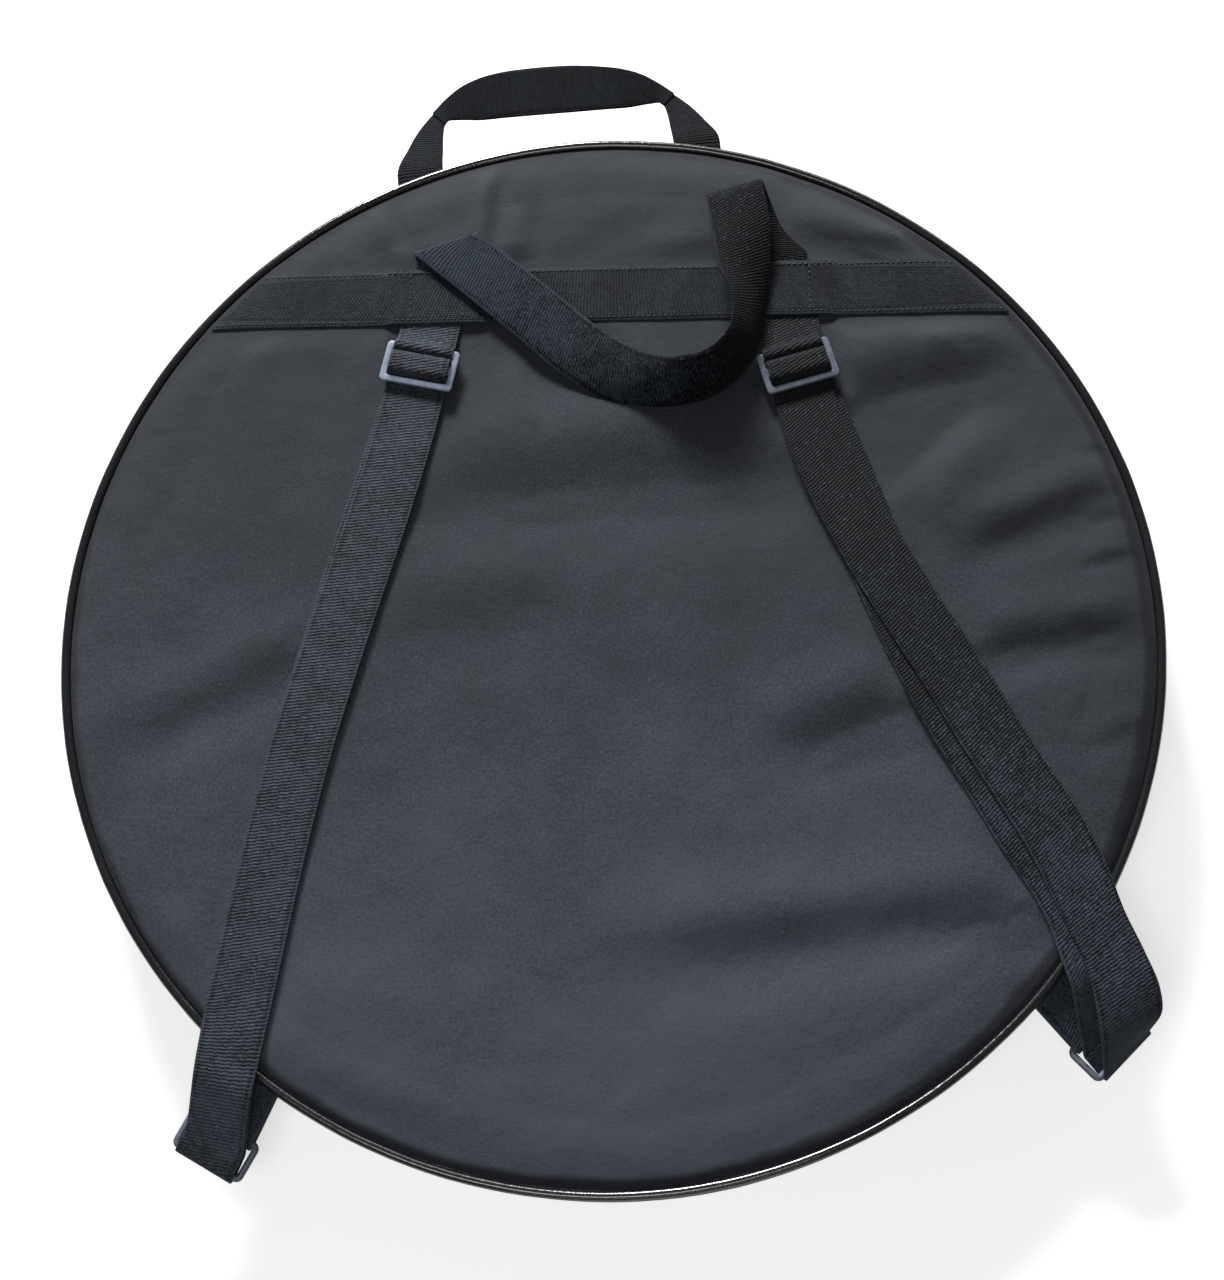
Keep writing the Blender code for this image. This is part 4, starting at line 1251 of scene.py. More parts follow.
    def webbing_over(self, x: float, y: float) -> float:
        """How much of a place is under webbing, from 0 to 1.

        Args:
            x: The place's X.
            y: The place's Y.

        Returns:
            The share.
        """
        far = abs(y - self.band_line) - self.cover
        for strap in STRAPS:
            for line in (strap.route, strap.under):
                for a, b in zip(line, line[1:]):
                    run = b - a
                    t = clamp(((x - a.x) * run.x + (y - a.y) * run.y) / run.length_squared)
                    far = min(far, hypot(x - a.x - run.x * t, y - a.y - run.y * t) - self.cover)
        return 1 - clamp(far / self.cover_fade)

    def build(self) -> None:
        """Model and dress the back panel."""
        obj = BENCH.cloth("Back_Panel", self.cells, self.cells, self.place)
        self.settle(obj, self.blow_up(obj))
        BENCH.modify(obj, "SUBSURF", levels=1, render_levels=1, subdivision_type="SIMPLE")
        extrude = bpy.ops.mesh.extrude_region_move
        BENCH.edit(
            obj,
            lambda: bpy.ops.mesh.select_all(action="DESELECT"),
            lambda: bpy.ops.mesh.select_non_manifold(extend=False, use_wire=False, use_multi_face=False),
            lambda: extrude(TRANSFORM_OT_translate={"value": (0, 0, -LAYOUT.fabric)}),
            lambda: extrude(TRANSFORM_OT_translate={"value": (0, 0, 0)}),
            lambda: bpy.ops.transform.resize(value=(0.972, 0.972, 1)),
            lambda: bpy.ops.mesh.edge_face_add(),
        )
        BENCH.smooth(obj)
        # rim=0.8 paints shade along the panel's rim.
        BENCH.finish(obj, ShellCloth("Panel_Cloth", rim=0.8), "back_shell", "back_panel", "back_padding")


@dataclass
class FrontPanel:
    """The front panel, which is flat where it rests on the floor and rolls up to its seam."""

    cells: int = 72
    roll: float = 0.012
    thick: float = 0.0009
    seam_drop: float = 0.0022
    waver: float = 0.0003

    def place(self, a: float, b: float) -> Point:
        """The place on the panel.

        Args:
            a: Share along X.
            b: Share along Y.

        Returns:
            The place.
        """
        x, y = on_disc(a, b, LAYOUT.gusset)
        rim = clamp((hypot(x, y) - LAYOUT.gusset + self.roll) / self.roll)
        soft = max(unrest(x, y, 16.0, 9.0), 0.0) * self.waver * (1 - rim)
        return x, y, 0.00002 + soft + (LAYOUT.front_seam - self.seam_drop) * (1 - sqrt(1 - rim * rim))

    def build(self) -> None:
        """Model and dress the front panel."""
        obj = BENCH.cloth("Front_Panel", self.cells, self.cells, self.place)
        BENCH.edit(obj, bpy.ops.mesh.flip_normals)
        BENCH.thicken(obj, self.thick)
        BENCH.smooth(obj)
        # rim=0.8 paints shade along the panel's rim.
        BENCH.finish(obj, ShellCloth("Panel_Cloth", rim=0.8), "front_shell", "front_panel")


@dataclass
class Liner:
    """The foam-backed linings of the two halves: a round floor that turns up into a wall."""

    wall: float = 0.0038
    turn: float = 0.010
    setback: float = 0.0063
    cells: int = 110

    def profile(self, share: float, floor: float, edge: float) -> tuple[float, float]:
        """Radius and height along the lining from the middle to its free edge.

        Args:
            share: How far along, from 0 to 1.
            floor: Height of its flat middle.
            edge: Height of its free edge.

        Returns:
            The radius and the height.
        """
        inside = LAYOUT.foam_radius - self.wall - 0.0006
        flat = inside - self.turn
        up = 1.0 if edge > floor else -1.0
        bend = self.turn * pi / 2
        rise = abs(edge - floor) - self.turn
        travelled = share * (flat + bend + rise)
        if travelled < flat:
            return travelled, floor
        if travelled < flat + bend:
            angle = (travelled - flat) / self.turn
            return flat + self.turn * sin(angle), floor + up * self.turn * (1 - cos(angle))
        return inside, floor + up * (self.turn + travelled - flat - bend)

    def half(self, name: str, floor: float, edge: float, body: str, *nodes: str) -> None:
        """Model and dress the lining of one half.

        Args:
            name: The piece's name.
            floor: Height of its floor.
            edge: Height of its wall's edge.
            body: The CAD body that it rides on.
            nodes: The CAD nodes that it replaces.
        """
        inward = 1.0 if edge > floor else -1.0

        def place(a: float, b: float) -> Point:
            """The place on the lining.

            Args:
                a: Share along X.
                b: Share along Y.

            Returns:
                The place.
            """
            x, y = on_disc(a, b, 1.0)
            share, angle = hypot(x, y), atan2(y, x)
            radius, height = self.profile(min(share, 1.0), floor, edge)
            soft = abs(unrest(x, y, 5.0, 2.0)) * 0.0011 + abs(unrest(x, y, 13.0, 4.0)) * 0.0006
            wall = clamp((share - 0.86) / 0.04)
            radius -= abs(unrest(cos(angle), sin(angle), 22, height * 30)) * 0.0011 * wall
            return radius * cos(angle), radius * sin(angle), height + soft * (1 - wall) * inward

        obj = BENCH.cloth(name, self.cells, self.cells, place, lambda a, b: (0.6 * a - 0.3, 0.6 * b - 0.3, 0))
        if inward < 0:
            BENCH.edit(obj, bpy.ops.mesh.flip_normals)
        BENCH.thicken(obj, self.wall)
        BENCH.ease(obj, 0.001)
        BENCH.smooth(obj)
        BENCH.finish(obj, LiningCloth(), body, *nodes)

    def build(self) -> None:
        """Build both linings."""
        floor = LAYOUT.fabric + 2 * LAYOUT.gap + LAYOUT.foam + 0.0008
        ceiling = LAYOUT.panel_top - LAYOUT.fabric - LAYOUT.foam - 2 * LAYOUT.gap - 0.0006
        low, high = LAYOUT.zip_height - self.setback, LAYOUT.zip_height + self.setback
        front = ("front_lining", "front_padding", "front_gusset_padding")
        self.half("Front_Lining", floor, low, "front_shell", *front)
        self.half("Back_Lining", ceiling, high, "back_shell", "back_lining", "back_gusset_padding")


@dataclass
class Piping:
    """The coated cords in the two seams, each with the flange that is sewn into its seam."""

    turns: int = 420
    sides: int = 16
    flange_high: float = 0.00105
    flange_low: float = 0.0012
    unevenness: float = 0.00035

    def profile(self, reach: float) -> list[tuple[float, float]]:
        """Offsets from the cord's centre, outward and up, once round it and its flange.

        Args:
            reach: How far inward of the centre the flange ends.

        Returns:
            The closed outline.
        """
        start = pi + asin(self.flange_low / LAYOUT.cord)
        arc = 2 * pi - asin(self.flange_low / LAYOUT.cord) + asin(self.flange_high / LAYOUT.cord)
        angles = [start + arc * k / self.sides for k in range(self.sides + 1)]
        line = [(LAYOUT.cord * cos(angle), LAYOUT.cord * sin(angle)) for angle in angles]
        return line + [(-reach, -self.flange_high), (-reach, -self.flange_low), line[0]]

    def cord(self, name: str, seam: float, reach: float, wander: float, body: str) -> None:
        """Model and dress one cord, with the small unevenness of a sewn seam.

        Args:
            name: The piece's name.
            seam: Height of its seam.
            reach: How far its flange reaches in.
            wander: How far it strays up and down.
            body: The CAD body that it rides on.
        """
        centre = LAYOUT.rim - LAYOUT.cord
        line = self.profile(reach)

        def place(a: float, b: float) -> Point:
            """The place on the cord or its flange.

            Args:
                a: Share round the bag.
                b: Share round the section.

            Returns:
                The place.
            """
            angle = 2 * pi * a
            out, up = line[round(b * (len(line) - 1))]
            x, y = cos(angle), sin(angle)
            cord = 1.0 if hypot(out, up) < LAYOUT.cord * 1.02 else 0.0
            swell = 1 - 0.05 * abs(unrest(x, y, 26.0, seam)) * cord
            drift = abs(self.unevenness * unrest(x, y, 7.0, 5.0 + seam)) * cord
            radius = centre + out * swell - drift
            return radius * x, radius * y, seam + up * swell + wander * unrest(x, y, 6.0, 8.0 + seam) * cord

        length = 2 * pi * centre
        obj = BENCH.cloth(name, self.turns, len(line) - 1, place, lambda a, b: (length * a, 0.016 * b, 0.0))
        BENCH.close_seam(obj)
        BENCH.smooth(obj, 60.0)
        BENCH.finish(obj, GlossCord(), body, name.lower())

    def build(self) -> None:
        """Model and dress both cords."""
        self.cord("Front_Piping", LAYOUT.front_seam, 0.0026, 0.0, "front_shell")
        self.cord("Back_Piping", LAYOUT.back_seam, 0.0050, self.unevenness, "back_shell")


@dataclass
class Gusset:
    """The strip round the bag with its zip: cloth above and below, tapes and two rows of teeth."""

    setback: float = 0.0028
    tape_width: float = 0.011
    pitch: float = 0.0019
    mesh: float = 0.0006
    seam_inset: float = 0.0018
    spans: int = 360

    def strip(
        self, name: str, low: float, high: float, radius: float, thick: float, bulge: float, hinge: bool
    ) -> bpy.types.Object:
        """A strip that stands round the bag.

        Args:
            name: The piece's name.
            low: Height of its lower edge.
            high: Height of its upper edge.
            radius: Its outside radius.
            thick: Its thickness.
            bulge: How far its creases go in.
            hinge: Whether it closes the hinge's arc or the zip's.

        Returns:
            The closed strip.
        """
        spare = LAYOUT.gap / LAYOUT.gusset
        start = -pi / 2 - LAYOUT.hinge_half + spare if hinge else LAYOUT.zip_start
        arc = 2 * LAYOUT.hinge_half - 2 * spare if hinge else LAYOUT.zip_arc

        def place(a: float, b: float) -> Point:
            """The place on the strip.

            Args:
                a: Share along the arc.
                b: Share of the height.

            Returns:
                The place.
            """
            angle, height = start + arc * a, low + (high - low) * b
            away = min(b, 1 - b) * 2
            crease = noise.noise(Vector((angle * 46, b * 1.6, low * 100)))
            wide = noise.noise(Vector((angle * 9, 3.0, low * 100)))
            return tuple(polar(radius - bulge * away * (0.45 + 0.55 * crease + 0.3 * wide), angle, height))

        columns = 140 if hinge else 700
        obj = BENCH.cloth(
            name, columns, 6, place, lambda a, b: (radius * arc * a, low + (high - low) * b, 0.0)
        )
        BENCH.thicken(obj, thick)
        BENCH.smooth(obj)
        return obj

    def teeth(self, name: str, low: float, high: float, phase: float, body: str) -> None:
        """One row of the coil: a tooth modelled once and copied round the zip.

        Args:
            name: The piece's name.
            low: Height of the teeth's lower ends.
            high: Height of their upper ends.
            phase: Shift along the zip in teeth.
            body: The CAD body that it rides on.
        """
        tooth = BENCH.ball(8, 6)
        half = (high - low) / 2
        for vertex in tooth.data.vertices:
            x, y, z = vertex.co
            waist = 1.0 - 0.3 * abs(z)
            height = z * half + 0.35 * x * z * half
            vertex.co = (x * self.pitch * 0.26 * waist, y * LAYOUT.coil * 0.48, height)
        radius = LAYOUT.tape_radius - 0.0001
        count = int(LAYOUT.zip_arc * radius / self.pitch)
        places = []
        for k in range(count):
            angle = LAYOUT.zip_start + LAYOUT.zip_arc * (k + phase) / (count + 1)
            turned = Matrix.Rotation(angle - pi / 2, 4, "Z")
            places.append(Matrix.Translation(polar(radius, angle, (low + high) / 2)) @ turned)
        finish = Moulded("Zip_Coil", "zip_coil", 0.008, 0.026, 0.38)
        BENCH.finish(BENCH.repeat(name, tooth, places), finish, body, name.lower())

    def stitch(self, name: str, height: float, body: str) -> None:
        """One row of stitches round the zip's arc.

        Args:
            name: The piece's name.
            height: Height of the row.
            body: The CAD body that it rides on.
        """
        steps = [(k + 0.5) / (self.spans + 1) for k in range(self.spans + 1)]
        angles = [LAYOUT.zip_start + LAYOUT.zip_arc * step for step in steps]
        row = [(polar(LAYOUT.gusset, angle, height), polar(1.0, angle)) for angle in angles]
        BENCH.stitches(name, [row], body)

    def build(self) -> None:
        """Model and dress the strips, tapes, teeth and their stitching."""
        middle, gap, outside = LAYOUT.zip_height, LAYOUT.gap, LAYOUT.gusset
        top = LAYOUT.back_seam - LAYOUT.fabric - gap
        bottom = LAYOUT.fabric + gap
        tape_high = middle - gap / 2 - LAYOUT.coil_width - gap
        tape_low = middle + gap / 2 + LAYOUT.coil_width + gap
        front_edge, back_edge = tape_high - self.setback, tape_low + self.setback
        for name, low, high, body in (
            ("Front_Gusset", bottom, front_edge, "front_shell"),
            ("Back_Gusset", back_edge, top, "back_shell"),
        ):
            strip = self.strip(name, low, high, outside, LAYOUT.fabric, 0.0009, False)
            BENCH.finish(strip, ShellCloth(), body, name.lower())
        for name, low, body in (
            ("Front_Zip_Tape", tape_high - self.tape_width, "front_shell"),
            ("Back_Zip_Tape", tape_low, "back_shell"),
        ):
            strip = self.strip(name, low, low + self.tape_width, LAYOUT.tape_radius, LAYOUT.tape, 0.0, False)
            BENCH.finish(strip, TapeWeave(), body, name.lower())
        self.teeth("Front_Zip_Coil", tape_high + gap, middle + self.mesh, 0.25, "front_shell")
        self.teeth("Back_Zip_Coil", middle - self.mesh, tape_low - gap, 0.75, "back_shell")
        self.stitch("Front_Gusset_Stitches", front_edge - self.seam_inset, "front_shell")
        self.stitch("Back_Gusset_Stitches", back_edge + self.seam_inset, "back_shell")
        hinge = self.strip("Hinge_Gusset", bottom, top, outside, LAYOUT.fabric, 0.0012, True)
        BENCH.finish(hinge, ShellCloth(), None, "hinge_gusset")
        -outside
        -outside
        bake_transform(hinge)


# Webbing on the back panel


@dataclass
class ShoulderStrap:
    """One shoulder strap: the run to its ring and back, the adjuster, the ring and its tab."""

    name: str
    route_shares: tuple[tuple[float, float], ...]
    under_shares: tuple[tuple[float, float], ...]
    tab_place: float
    tab_direction: float
    travel: float
    ring_height: float = 0.0365
    ring_pitch: float = 0.018
    ring_corner: float = 0.0022
    ring_play: float = 0.001
    bar_radius: float = 0.0018
    tab_length: float = 0.034
    foot_run: float = 0.012
    drop_run: float = 0.038
    lower_extra: float = 0.003
    bend: float = 0.003
    middle_bar: float = 0.004
    slot: float = 0.0065
    end_bar: float = 0.0035
    tail: float = 0.002
    weave_run: float = 0.0027
    turn_steps: int = 14
    tone: WebTone = WebTone.STRAP
    skirt: tuple[tuple[float, float, float, float, float], ...] = ()
    skirt_room: float = 0.018

    def __post_init__(self) -> None:
        """Work out the places that its pieces share."""
        self.route = [on_plan(x, y) for x, y in self.route_shares]
        self.under = [on_plan(x, y) for x, y in self.under_shares]
        self.root, self.buckle = self.route[0], self.route[1]
        self.run = (self.route[2] - self.buckle).normalized()
        self.root_run = (self.root - self.buckle).normalized()
        self.buckle_run = (self.root_run - self.run).normalized()
        self.out = polar(1.0, self.tab_direction)
        self.bar = across(self.out)
        self.inner_bar = polar(LAYOUT.gusset, self.tab_place, self.ring_height) + self.out * self.tab_length
        self.outer_bar = self.inner_bar + self.out * self.ring_pitch
        self.wrap = self.bar_radius + LAYOUT.gap + WEB.thick / 2
        self.weave_end = self.middle_bar / 2 + self.slot + self.end_bar + self.tail

    def inward(self, point: Vector) -> float:
        """How far a place lies inward of the ring's outer bar."""
        return (self.outer_bar - point).xy.dot(self.out.xy)

    def wrap_angle(self, run: float, rise: float, sign: float) -> float:
        """Where a straight layer from a run inward and a rise above a bar meets the turn round it."""
        return pi - atan2(rise, run) - sign * acos(self.wrap / hypot(run, rise))

    def layer(self, level: float, sign: float) -> tuple[float, float, float]:
        """The run and rise of a layer where it starts to drop, and the angle where it meets the bar.

        Args:
            level: Its height over the panel.
            sign: 1 for the upper layer, -1 for the lower one.

        Returns:
            The run, the rise and the angle.
        """
        run = self.drop_run + (self.lower_extra if sign < 0 else 0.0)
        rise = LAYOUT.panel_top + level - self.ring_height
        return run, rise, self.wrap_angle(run, rise, sign)

    def height(self, inward: float, level: float, sign: float) -> float:
        """The height of a layer: level over the bag, then down to the ring.

        Args:
            inward: How far the place lies inward of the ring's outer bar.
            level: The layer's height over the panel.
            sign: 1 for the upper layer, -1 for the lower one.

        Returns:
            The height over the floor.
        """
        run, rise, angle = self.layer(level, sign)
        beyond = inward - run
        soft = 2 * self.bend
        eased = beyond if beyond < -soft else -((soft - min(beyond, soft)) ** 2) / (4 * soft)
        return self.ring_height + rise + min(eased, 0.0) / tan(angle)

    def line(self, route: list[Vector], level: float, sign: float, tops: list[Vector]) -> list[Pair]:
        """Edge pairs of one layer from its top to just above its foot.

        Args:
            route: The strap's course.
            level: The layer's height over the panel.
            sign: 1 for the upper layer, -1 for the lower one.
            tops: The places that come before the course.

        Returns:
            The pairs on the plan, without their heights.
        """
        foot_end = self.outer_bar - self.out * (self.foot_run + LAYOUT.gap)
        last = route[-1]
        run = self.layer(level, sign)[0]
        drop = foot_end + (last - foot_end) * ((run - self.foot_run) / (self.inward(last) - self.foot_run))
        middle = [point.xy.to_3d() for point in tops + route]
        line = middle + [drop.xy.to_3d()]
        widths = [across(line[min(i + 1, len(line) - 1)] - line[max(i - 1, 0)]) for i in range(len(middle))]
        flow = [edges(point, width) for point, width in zip(middle, widths)] + [edges(line[-1], self.bar)]
        pairs = [edges((a + b) / 2, (b - a).normalized()) for a, b in curve_pairs(flow, 14)]
        return pairs + between(pairs[-1], edges(foot_end.xy.to_3d(), self.bar), 10, range(1, 11))

    def webbing(
        self, part: str, pairs: list[Pair], body: str | None, *nodes: str, **more: object
    ) -> bpy.types.Object:
        """Model and dress a length of its webbing, which stands for nodes of its side."""
        nodes = [f"{self.name}_{node}" for node in nodes]
        return BENCH.ribbon(self.title(part), pairs, self.tone, body, *nodes, **more)

    def upper_run(self) -> None:
        """The layer on top, from the seam under the band to the ring and round its outer bar."""
        flat_end = self.weave_end + LAYOUT.gap
        slant = WEB.width / 2 * abs(self.root_run.x / self.root_run.y)
        band_edge = (self.root - self.buckle).length - WEB.width / 2 - slant - 2 * LAYOUT.gap
        top = self.root - self.root_run * (LAYOUT.gap / 2)
        tops = [
            top,
            self.buckle + self.root_run * band_edge,
            self.buckle + self.root_run * flat_end,
            self.buckle,
        ]
        second = WEB.level(1)
        pairs = self.line(self.route[2:], second, 1, tops)
        for point in (point for pair in pairs for point in pair):
            beyond = (point - self.buckle).dot(self.root_run)
            share = clamp((beyond - flat_end) / (band_edge - slant - flat_end))
            point.z = self.height(self.inward(point), second, 1) - (second - WEB.level(0)) * share
            point.z += clamp((-beyond - 0.02) / 0.03) * 0.0004 * abs(unrest(point.x, point.y, 55.0, 2.0))
        turn = self.foot()
        if self.skirt:
            rows = [(Vector((ax, ay, z)), Vector((bx, by, z))) for ax, ay, bx, by, z in self.skirt]
            start = (rows[0][0] + rows[0][1]).y / 2 + self.skirt_room
            keep = [pair for pair in pairs if (pair[0] + pair[1]).y / 2 > start]
            pairs = keep[:-1] + curve_pairs([keep[-6], keep[-1], *rows, turn[4]], 12)[12:] + turn[5:]
        else:
            pairs = pairs[:-1] + turn
        self.follow(self.webbing("Strap_Upper_Run", pairs, None, "strap_upper_run", "strap_foot", slant=0.35))

    def follow(self, obj: bpy.types.Object) -> None:
        """Bake a run's placement into its mesh.

        Args:
            obj: The run.
        """
        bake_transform(obj)

    def lower_run(self) -> None:
        """The layer beneath, in two lengths: one under the adjuster, one down to the ring."""
        level = WEB.level(0)
        pairs = self.line(self.under[1:], level, -1, [self.under[0]])
        for point in (point for pair in pairs for point in pair):
            point.z = self.height(self.inward(point), level, -1)
        split = next(i for i, (a, b) in enumerate(pairs) if self.inward((a + b) / 2) < self.drop_run + 0.008)
        anchor = (pairs[split][0] + pairs[split][1]) / 2
        keep = 1 - self.travel / (anchor - self.buckle).xy.dot(self.run.xy)
        obj = self.webbing("Strap_Lower_Run", pairs[: split + 1], "back_shell", "strap_lower_run", slant=0.35)
        tuple(self.run)
        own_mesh(obj)
        self.follow(self.webbing("Strap_Lower_End", pairs[split:], None, "strap_lower_run", slant=0.35))

    def title(self, part: str) -> str:
        """The name of one of its pieces."""
        return f"{self.name.title()}_{part}"

    def turned(self, centre: Vector, start: float, stop: float, first: Pair, last: Pair) -> list[Pair]:
        """Edge pairs of webbing from one pair, round a bar of the ring, to another pair.

        Args:
            centre: The bar's middle.
            start: Angle where the turn starts.
            stop: Angle where it stops.
            first: The pair that it comes from.
            last: The pair that it ends at.

        Returns:
            The pairs in their order.
        """
        steps = 2 * self.turn_steps
        turn = []
        for angle in (start + (stop - start) * k / steps for k in range(steps + 1)):
            offset = self.out * (self.wrap * cos(angle)) + UP * (self.wrap * sin(angle))
            turn.append(edges(centre + offset, self.bar))
        return between(first, turn[0], 4, range(4)) + turn + between(turn[-1], last, 4, range(1, 5))

    def foot(self) -> list[Pair]:
        """Edge pairs of the strap's turn round the ring's outer bar.

        Returns:
            The pairs from the upper layer to the lower one.
        """
        ends = []
        for level, sign in ((WEB.level(1), 1), (WEB.level(0), -1)):
            point = self.outer_bar - self.out * self.foot_run
            point.z = self.height(self.foot_run, level, sign)
            ends.append(edges(point, self.bar))
        start = self.layer(WEB.level(1), 1)[2]
        stop = self.layer(WEB.level(0), -1)[2] - 2 * pi
        return self.turned(self.outer_bar, start, stop, *ends)

    def tab(self) -> None:
        """The doubled tab from the seam round the ring's inner bar."""
        radius = LAYOUT.gusset + LAYOUT.gap + WEB.width**2 / 8 / LAYOUT.gusset
        ends = []
        for height in (WEB.seam, WEB.seam - WEB.layer):
            pair = []
            for edge in edges(self.inner_bar, self.bar):
                along = edge.xy.dot(self.out.xy)
                back = along - sqrt(along * along - edge.xy.length_squared + radius * radius)
                end = edge - self.out * back
                pair.append(Vector((end.x, end.y, height)))
            ends.append(tuple(pair))
        rise = WEB.seam - self.ring_height
        start = self.wrap_angle(self.tab_length, rise, 1)
        stop = self.wrap_angle(self.tab_length, rise - WEB.layer, -1) - 2 * pi
        pairs = self.turned(self.inner_bar, start, stop, *ends)
        self.webbing("Ring_Tab", pairs, "back_shell", "ring_tab", slant=0.35)

    def ring(self) -> None:
        """The rectangular ring, a round bar bent and closed."""
        half_width = (WEB.width + self.ring_play + 2 * self.bar_radius) / 2 - self.ring_corner
        half_pitch = self.ring_pitch / 2 - self.ring_corner
        outline = []
        for quarter, (sx, sy) in enumerate(((1, 1), (-1, 1), (-1, -1), (1, -1))):
            for k in range(7):
                angle = pi / 2 * (quarter + k / 6)
                x = sx * half_width + self.ring_corner * cos(angle)
                y = self.ring_pitch / 2 + sy * half_pitch + self.ring_corner * sin(angle)
                outline.append(self.inner_bar + self.bar * -x + self.out * y)
        curve = bpy.data.curves.new(self.title("Ring"), "CURVE")
        curve.dimensions = "3D"
        curve.bevel_depth = self.bar_radius
        curve.bevel_resolution = 4
        spline = curve.splines.new("POLY")
        spline.points.add(len(outline) - 1)
        for point, spot in zip(spline.points, outline):
            point.co = (*spot, 1)
        spline.use_cyclic_u = True
        BENCH.take(add_object(self.title("Ring"), curve))
        bpy.ops.object.convert(target="MESH")
        obj = bpy.context.object
        BENCH.smooth(obj, 60.0)
        finish = Moulded("Ring_Plastic", "ring_plastic", 0.09, 0.20, 0.36)
        BENCH.finish(obj, finish, self.name + "_ring", self.name + "_ring")

    def adjuster(self) -> None:
        """The adjuster's frame, the strap woven through it and the strap's end."""
        # The last value is painted shade: the right-hand buckle comes out darker than the left.
        finish = Moulded("Buckle_Plastic", "buckle_plastic", 0.10, 0.36, 0.36, -2.5)
        BENCH.softened(self.name + "_buckle", self.title("Buckle"), 0.0006, finish, self.name + "_adjuster")
        sleeve = self.middle_bar / 2 + LAYOUT.gap + WEB.thick / 2
        crest = sleeve + WEB.thick + LAYOUT.gap
        trough = crest + self.weave_run
        third, second = WEB.level(2), WEB.sleeve_level
        top = second + WEB.layer
        half = ((0.0, top), (crest * 0.8, top - 0.0001), (crest + 0.0008, top - 0.0009))
        low = (
            (trough - 0.0004, third + 0.0007),
            (trough + 0.0006, third),
            ((trough + self.weave_end) / 2, third),
            (self.weave_end, third),
        )
        over = (
            (0.0064, third + 0.0014),
            (0.0076, third + 0.0017),
            (0.0087, second - 0.0001),
            (0.0103, second + 0.0003),
            (0.0120, second),
            (0.0137, third + 0.0013),
            (0.0162, third),
        )
        line = [(-t, level) for t, level in reversed(half[1:] + low)]
        self.woven("Strap_Weave", [*line, *half, *over])
        sleeved = [(-sleeve, third), (-sleeve, second), (sleeve, second), (sleeve, third)]
        self.woven("Strap_End", sleeved, True)

    def woven(self, part: str, line: list[tuple[float, float]], cyclic: bool = False) -> None:
        """Webbing at the adjuster from its places along the strap and its levels.

        Args:
            part: The piece's name without its side.
            line: Places along the strap, with heights over the panel.
            cyclic: Whether the end joins the start.
        """
        pairs = []
        for place, level in line:
            point = self.buckle + self.buckle_run * place
            point.z = LAYOUT.panel_top + level
            pairs.append(edges(point, across(self.buckle_run)))
        pairs = pairs if cyclic else curve_pairs(pairs, 4)
        self.webbing(part, pairs, self.name + "_adjuster", part.lower(), cyclic=cyclic)

    def build(self) -> None:
        """Model and dress all its pieces."""
        self.upper_run()
        self.lower_run()
        self.tab()
        self.ring()
        self.adjuster()


@dataclass
class BackBand:
    """The webbing across the back panel, sewn down along both edges over the strap tops."""

    ramp: float = 0.006
    ramp_margin: float = 0.008
    end_margin: float = 0.0035
    end_lift: float = 0.0005
    thick: float = 0.0009
    press: float = 0.0006
    waver: float = 0.0005
    steps: int = 120
    hems: tuple[float, float] = (0.065, 0.935)
    box: tuple[float, float] = (0.014, 0.0145)

    def level(self, x: float) -> float:
        """Height of the band's middle above the panel at a place along it.

        Args:
            x: The place.

        Returns:
            The height.
        """
        reach = WEB.width / 2 + self.ramp_margin + self.ramp
        over = max(clamp((reach - abs(x - strap.root.x)) / self.ramp) for strap in STRAPS)
        return WEB.level(0) + WEB.layer * over * over * (3 - 2 * over)

    def course(self) -> list[Pair]:
        """Edge pairs from the left end to the right end.

        Returns:
            The pairs.
        """
        end = LAYOUT.gusset - self.end_margin
        low = LAYOUT.band_share * LAYOUT.rim - WEB.width / 2
        rows = [(y, sqrt(end * end - y * y)) for y in (low, low + WEB.width)]
        pairs = []
        for k in range(self.steps + 1):
            share = 2 * k / self.steps - 1
            share = share * (1.25 - 0.25 * share * share)
            lift = self.end_lift * max((abs(share) - 0.875) / 0.125, 0.0)
            pair = []
            for y, half in rows:
                x = share * half
                level = self.level(x)
                if y == low:
                    level -= self.press * (1 - (level - WEB.level(0)) / WEB.layer)
                height = LAYOUT.panel_height(hypot(x, y)) + level + lift
                pair.append(Vector((x, y + self.waver * unrest(x, y, 9.0, 4.0), height)))
            pairs.append(tuple(pair))
        return pairs

    def build(self) -> None:
        """Model the band and its stitching."""
        pairs = self.course()
        BENCH.ribbon("Back_Band", pairs, WebTone.BAND, "back_shell", "back_band", thick=self.thick)
        face = self.thick / 2 + 0.0001
        runs = [[(a + (b - a) * inset + UP * face, UP) for a, b in pairs] for inset in self.hems]
        long, wide = self.box
        for strap in STRAPS:
            x, y = strap.root.x, strap.root.y
            height = LAYOUT.panel_top + self.level(x) + face
            corners = [Vector((x + sx * wide, y + sy * long, height)) for sy in (-1, 1) for sx in (-1, 1)]
            low_left, low_right, high_left, high_right = corners
            sides = ((low_left, high_left), (low_right, high_right))
            ends = ((high_left, high_right), (high_right, high_left))
            runs += [[(spot, UP) for spot in side] for side in sides + ends]
        BENCH.stitches("Back_Band_Stitches", runs, "back_shell")


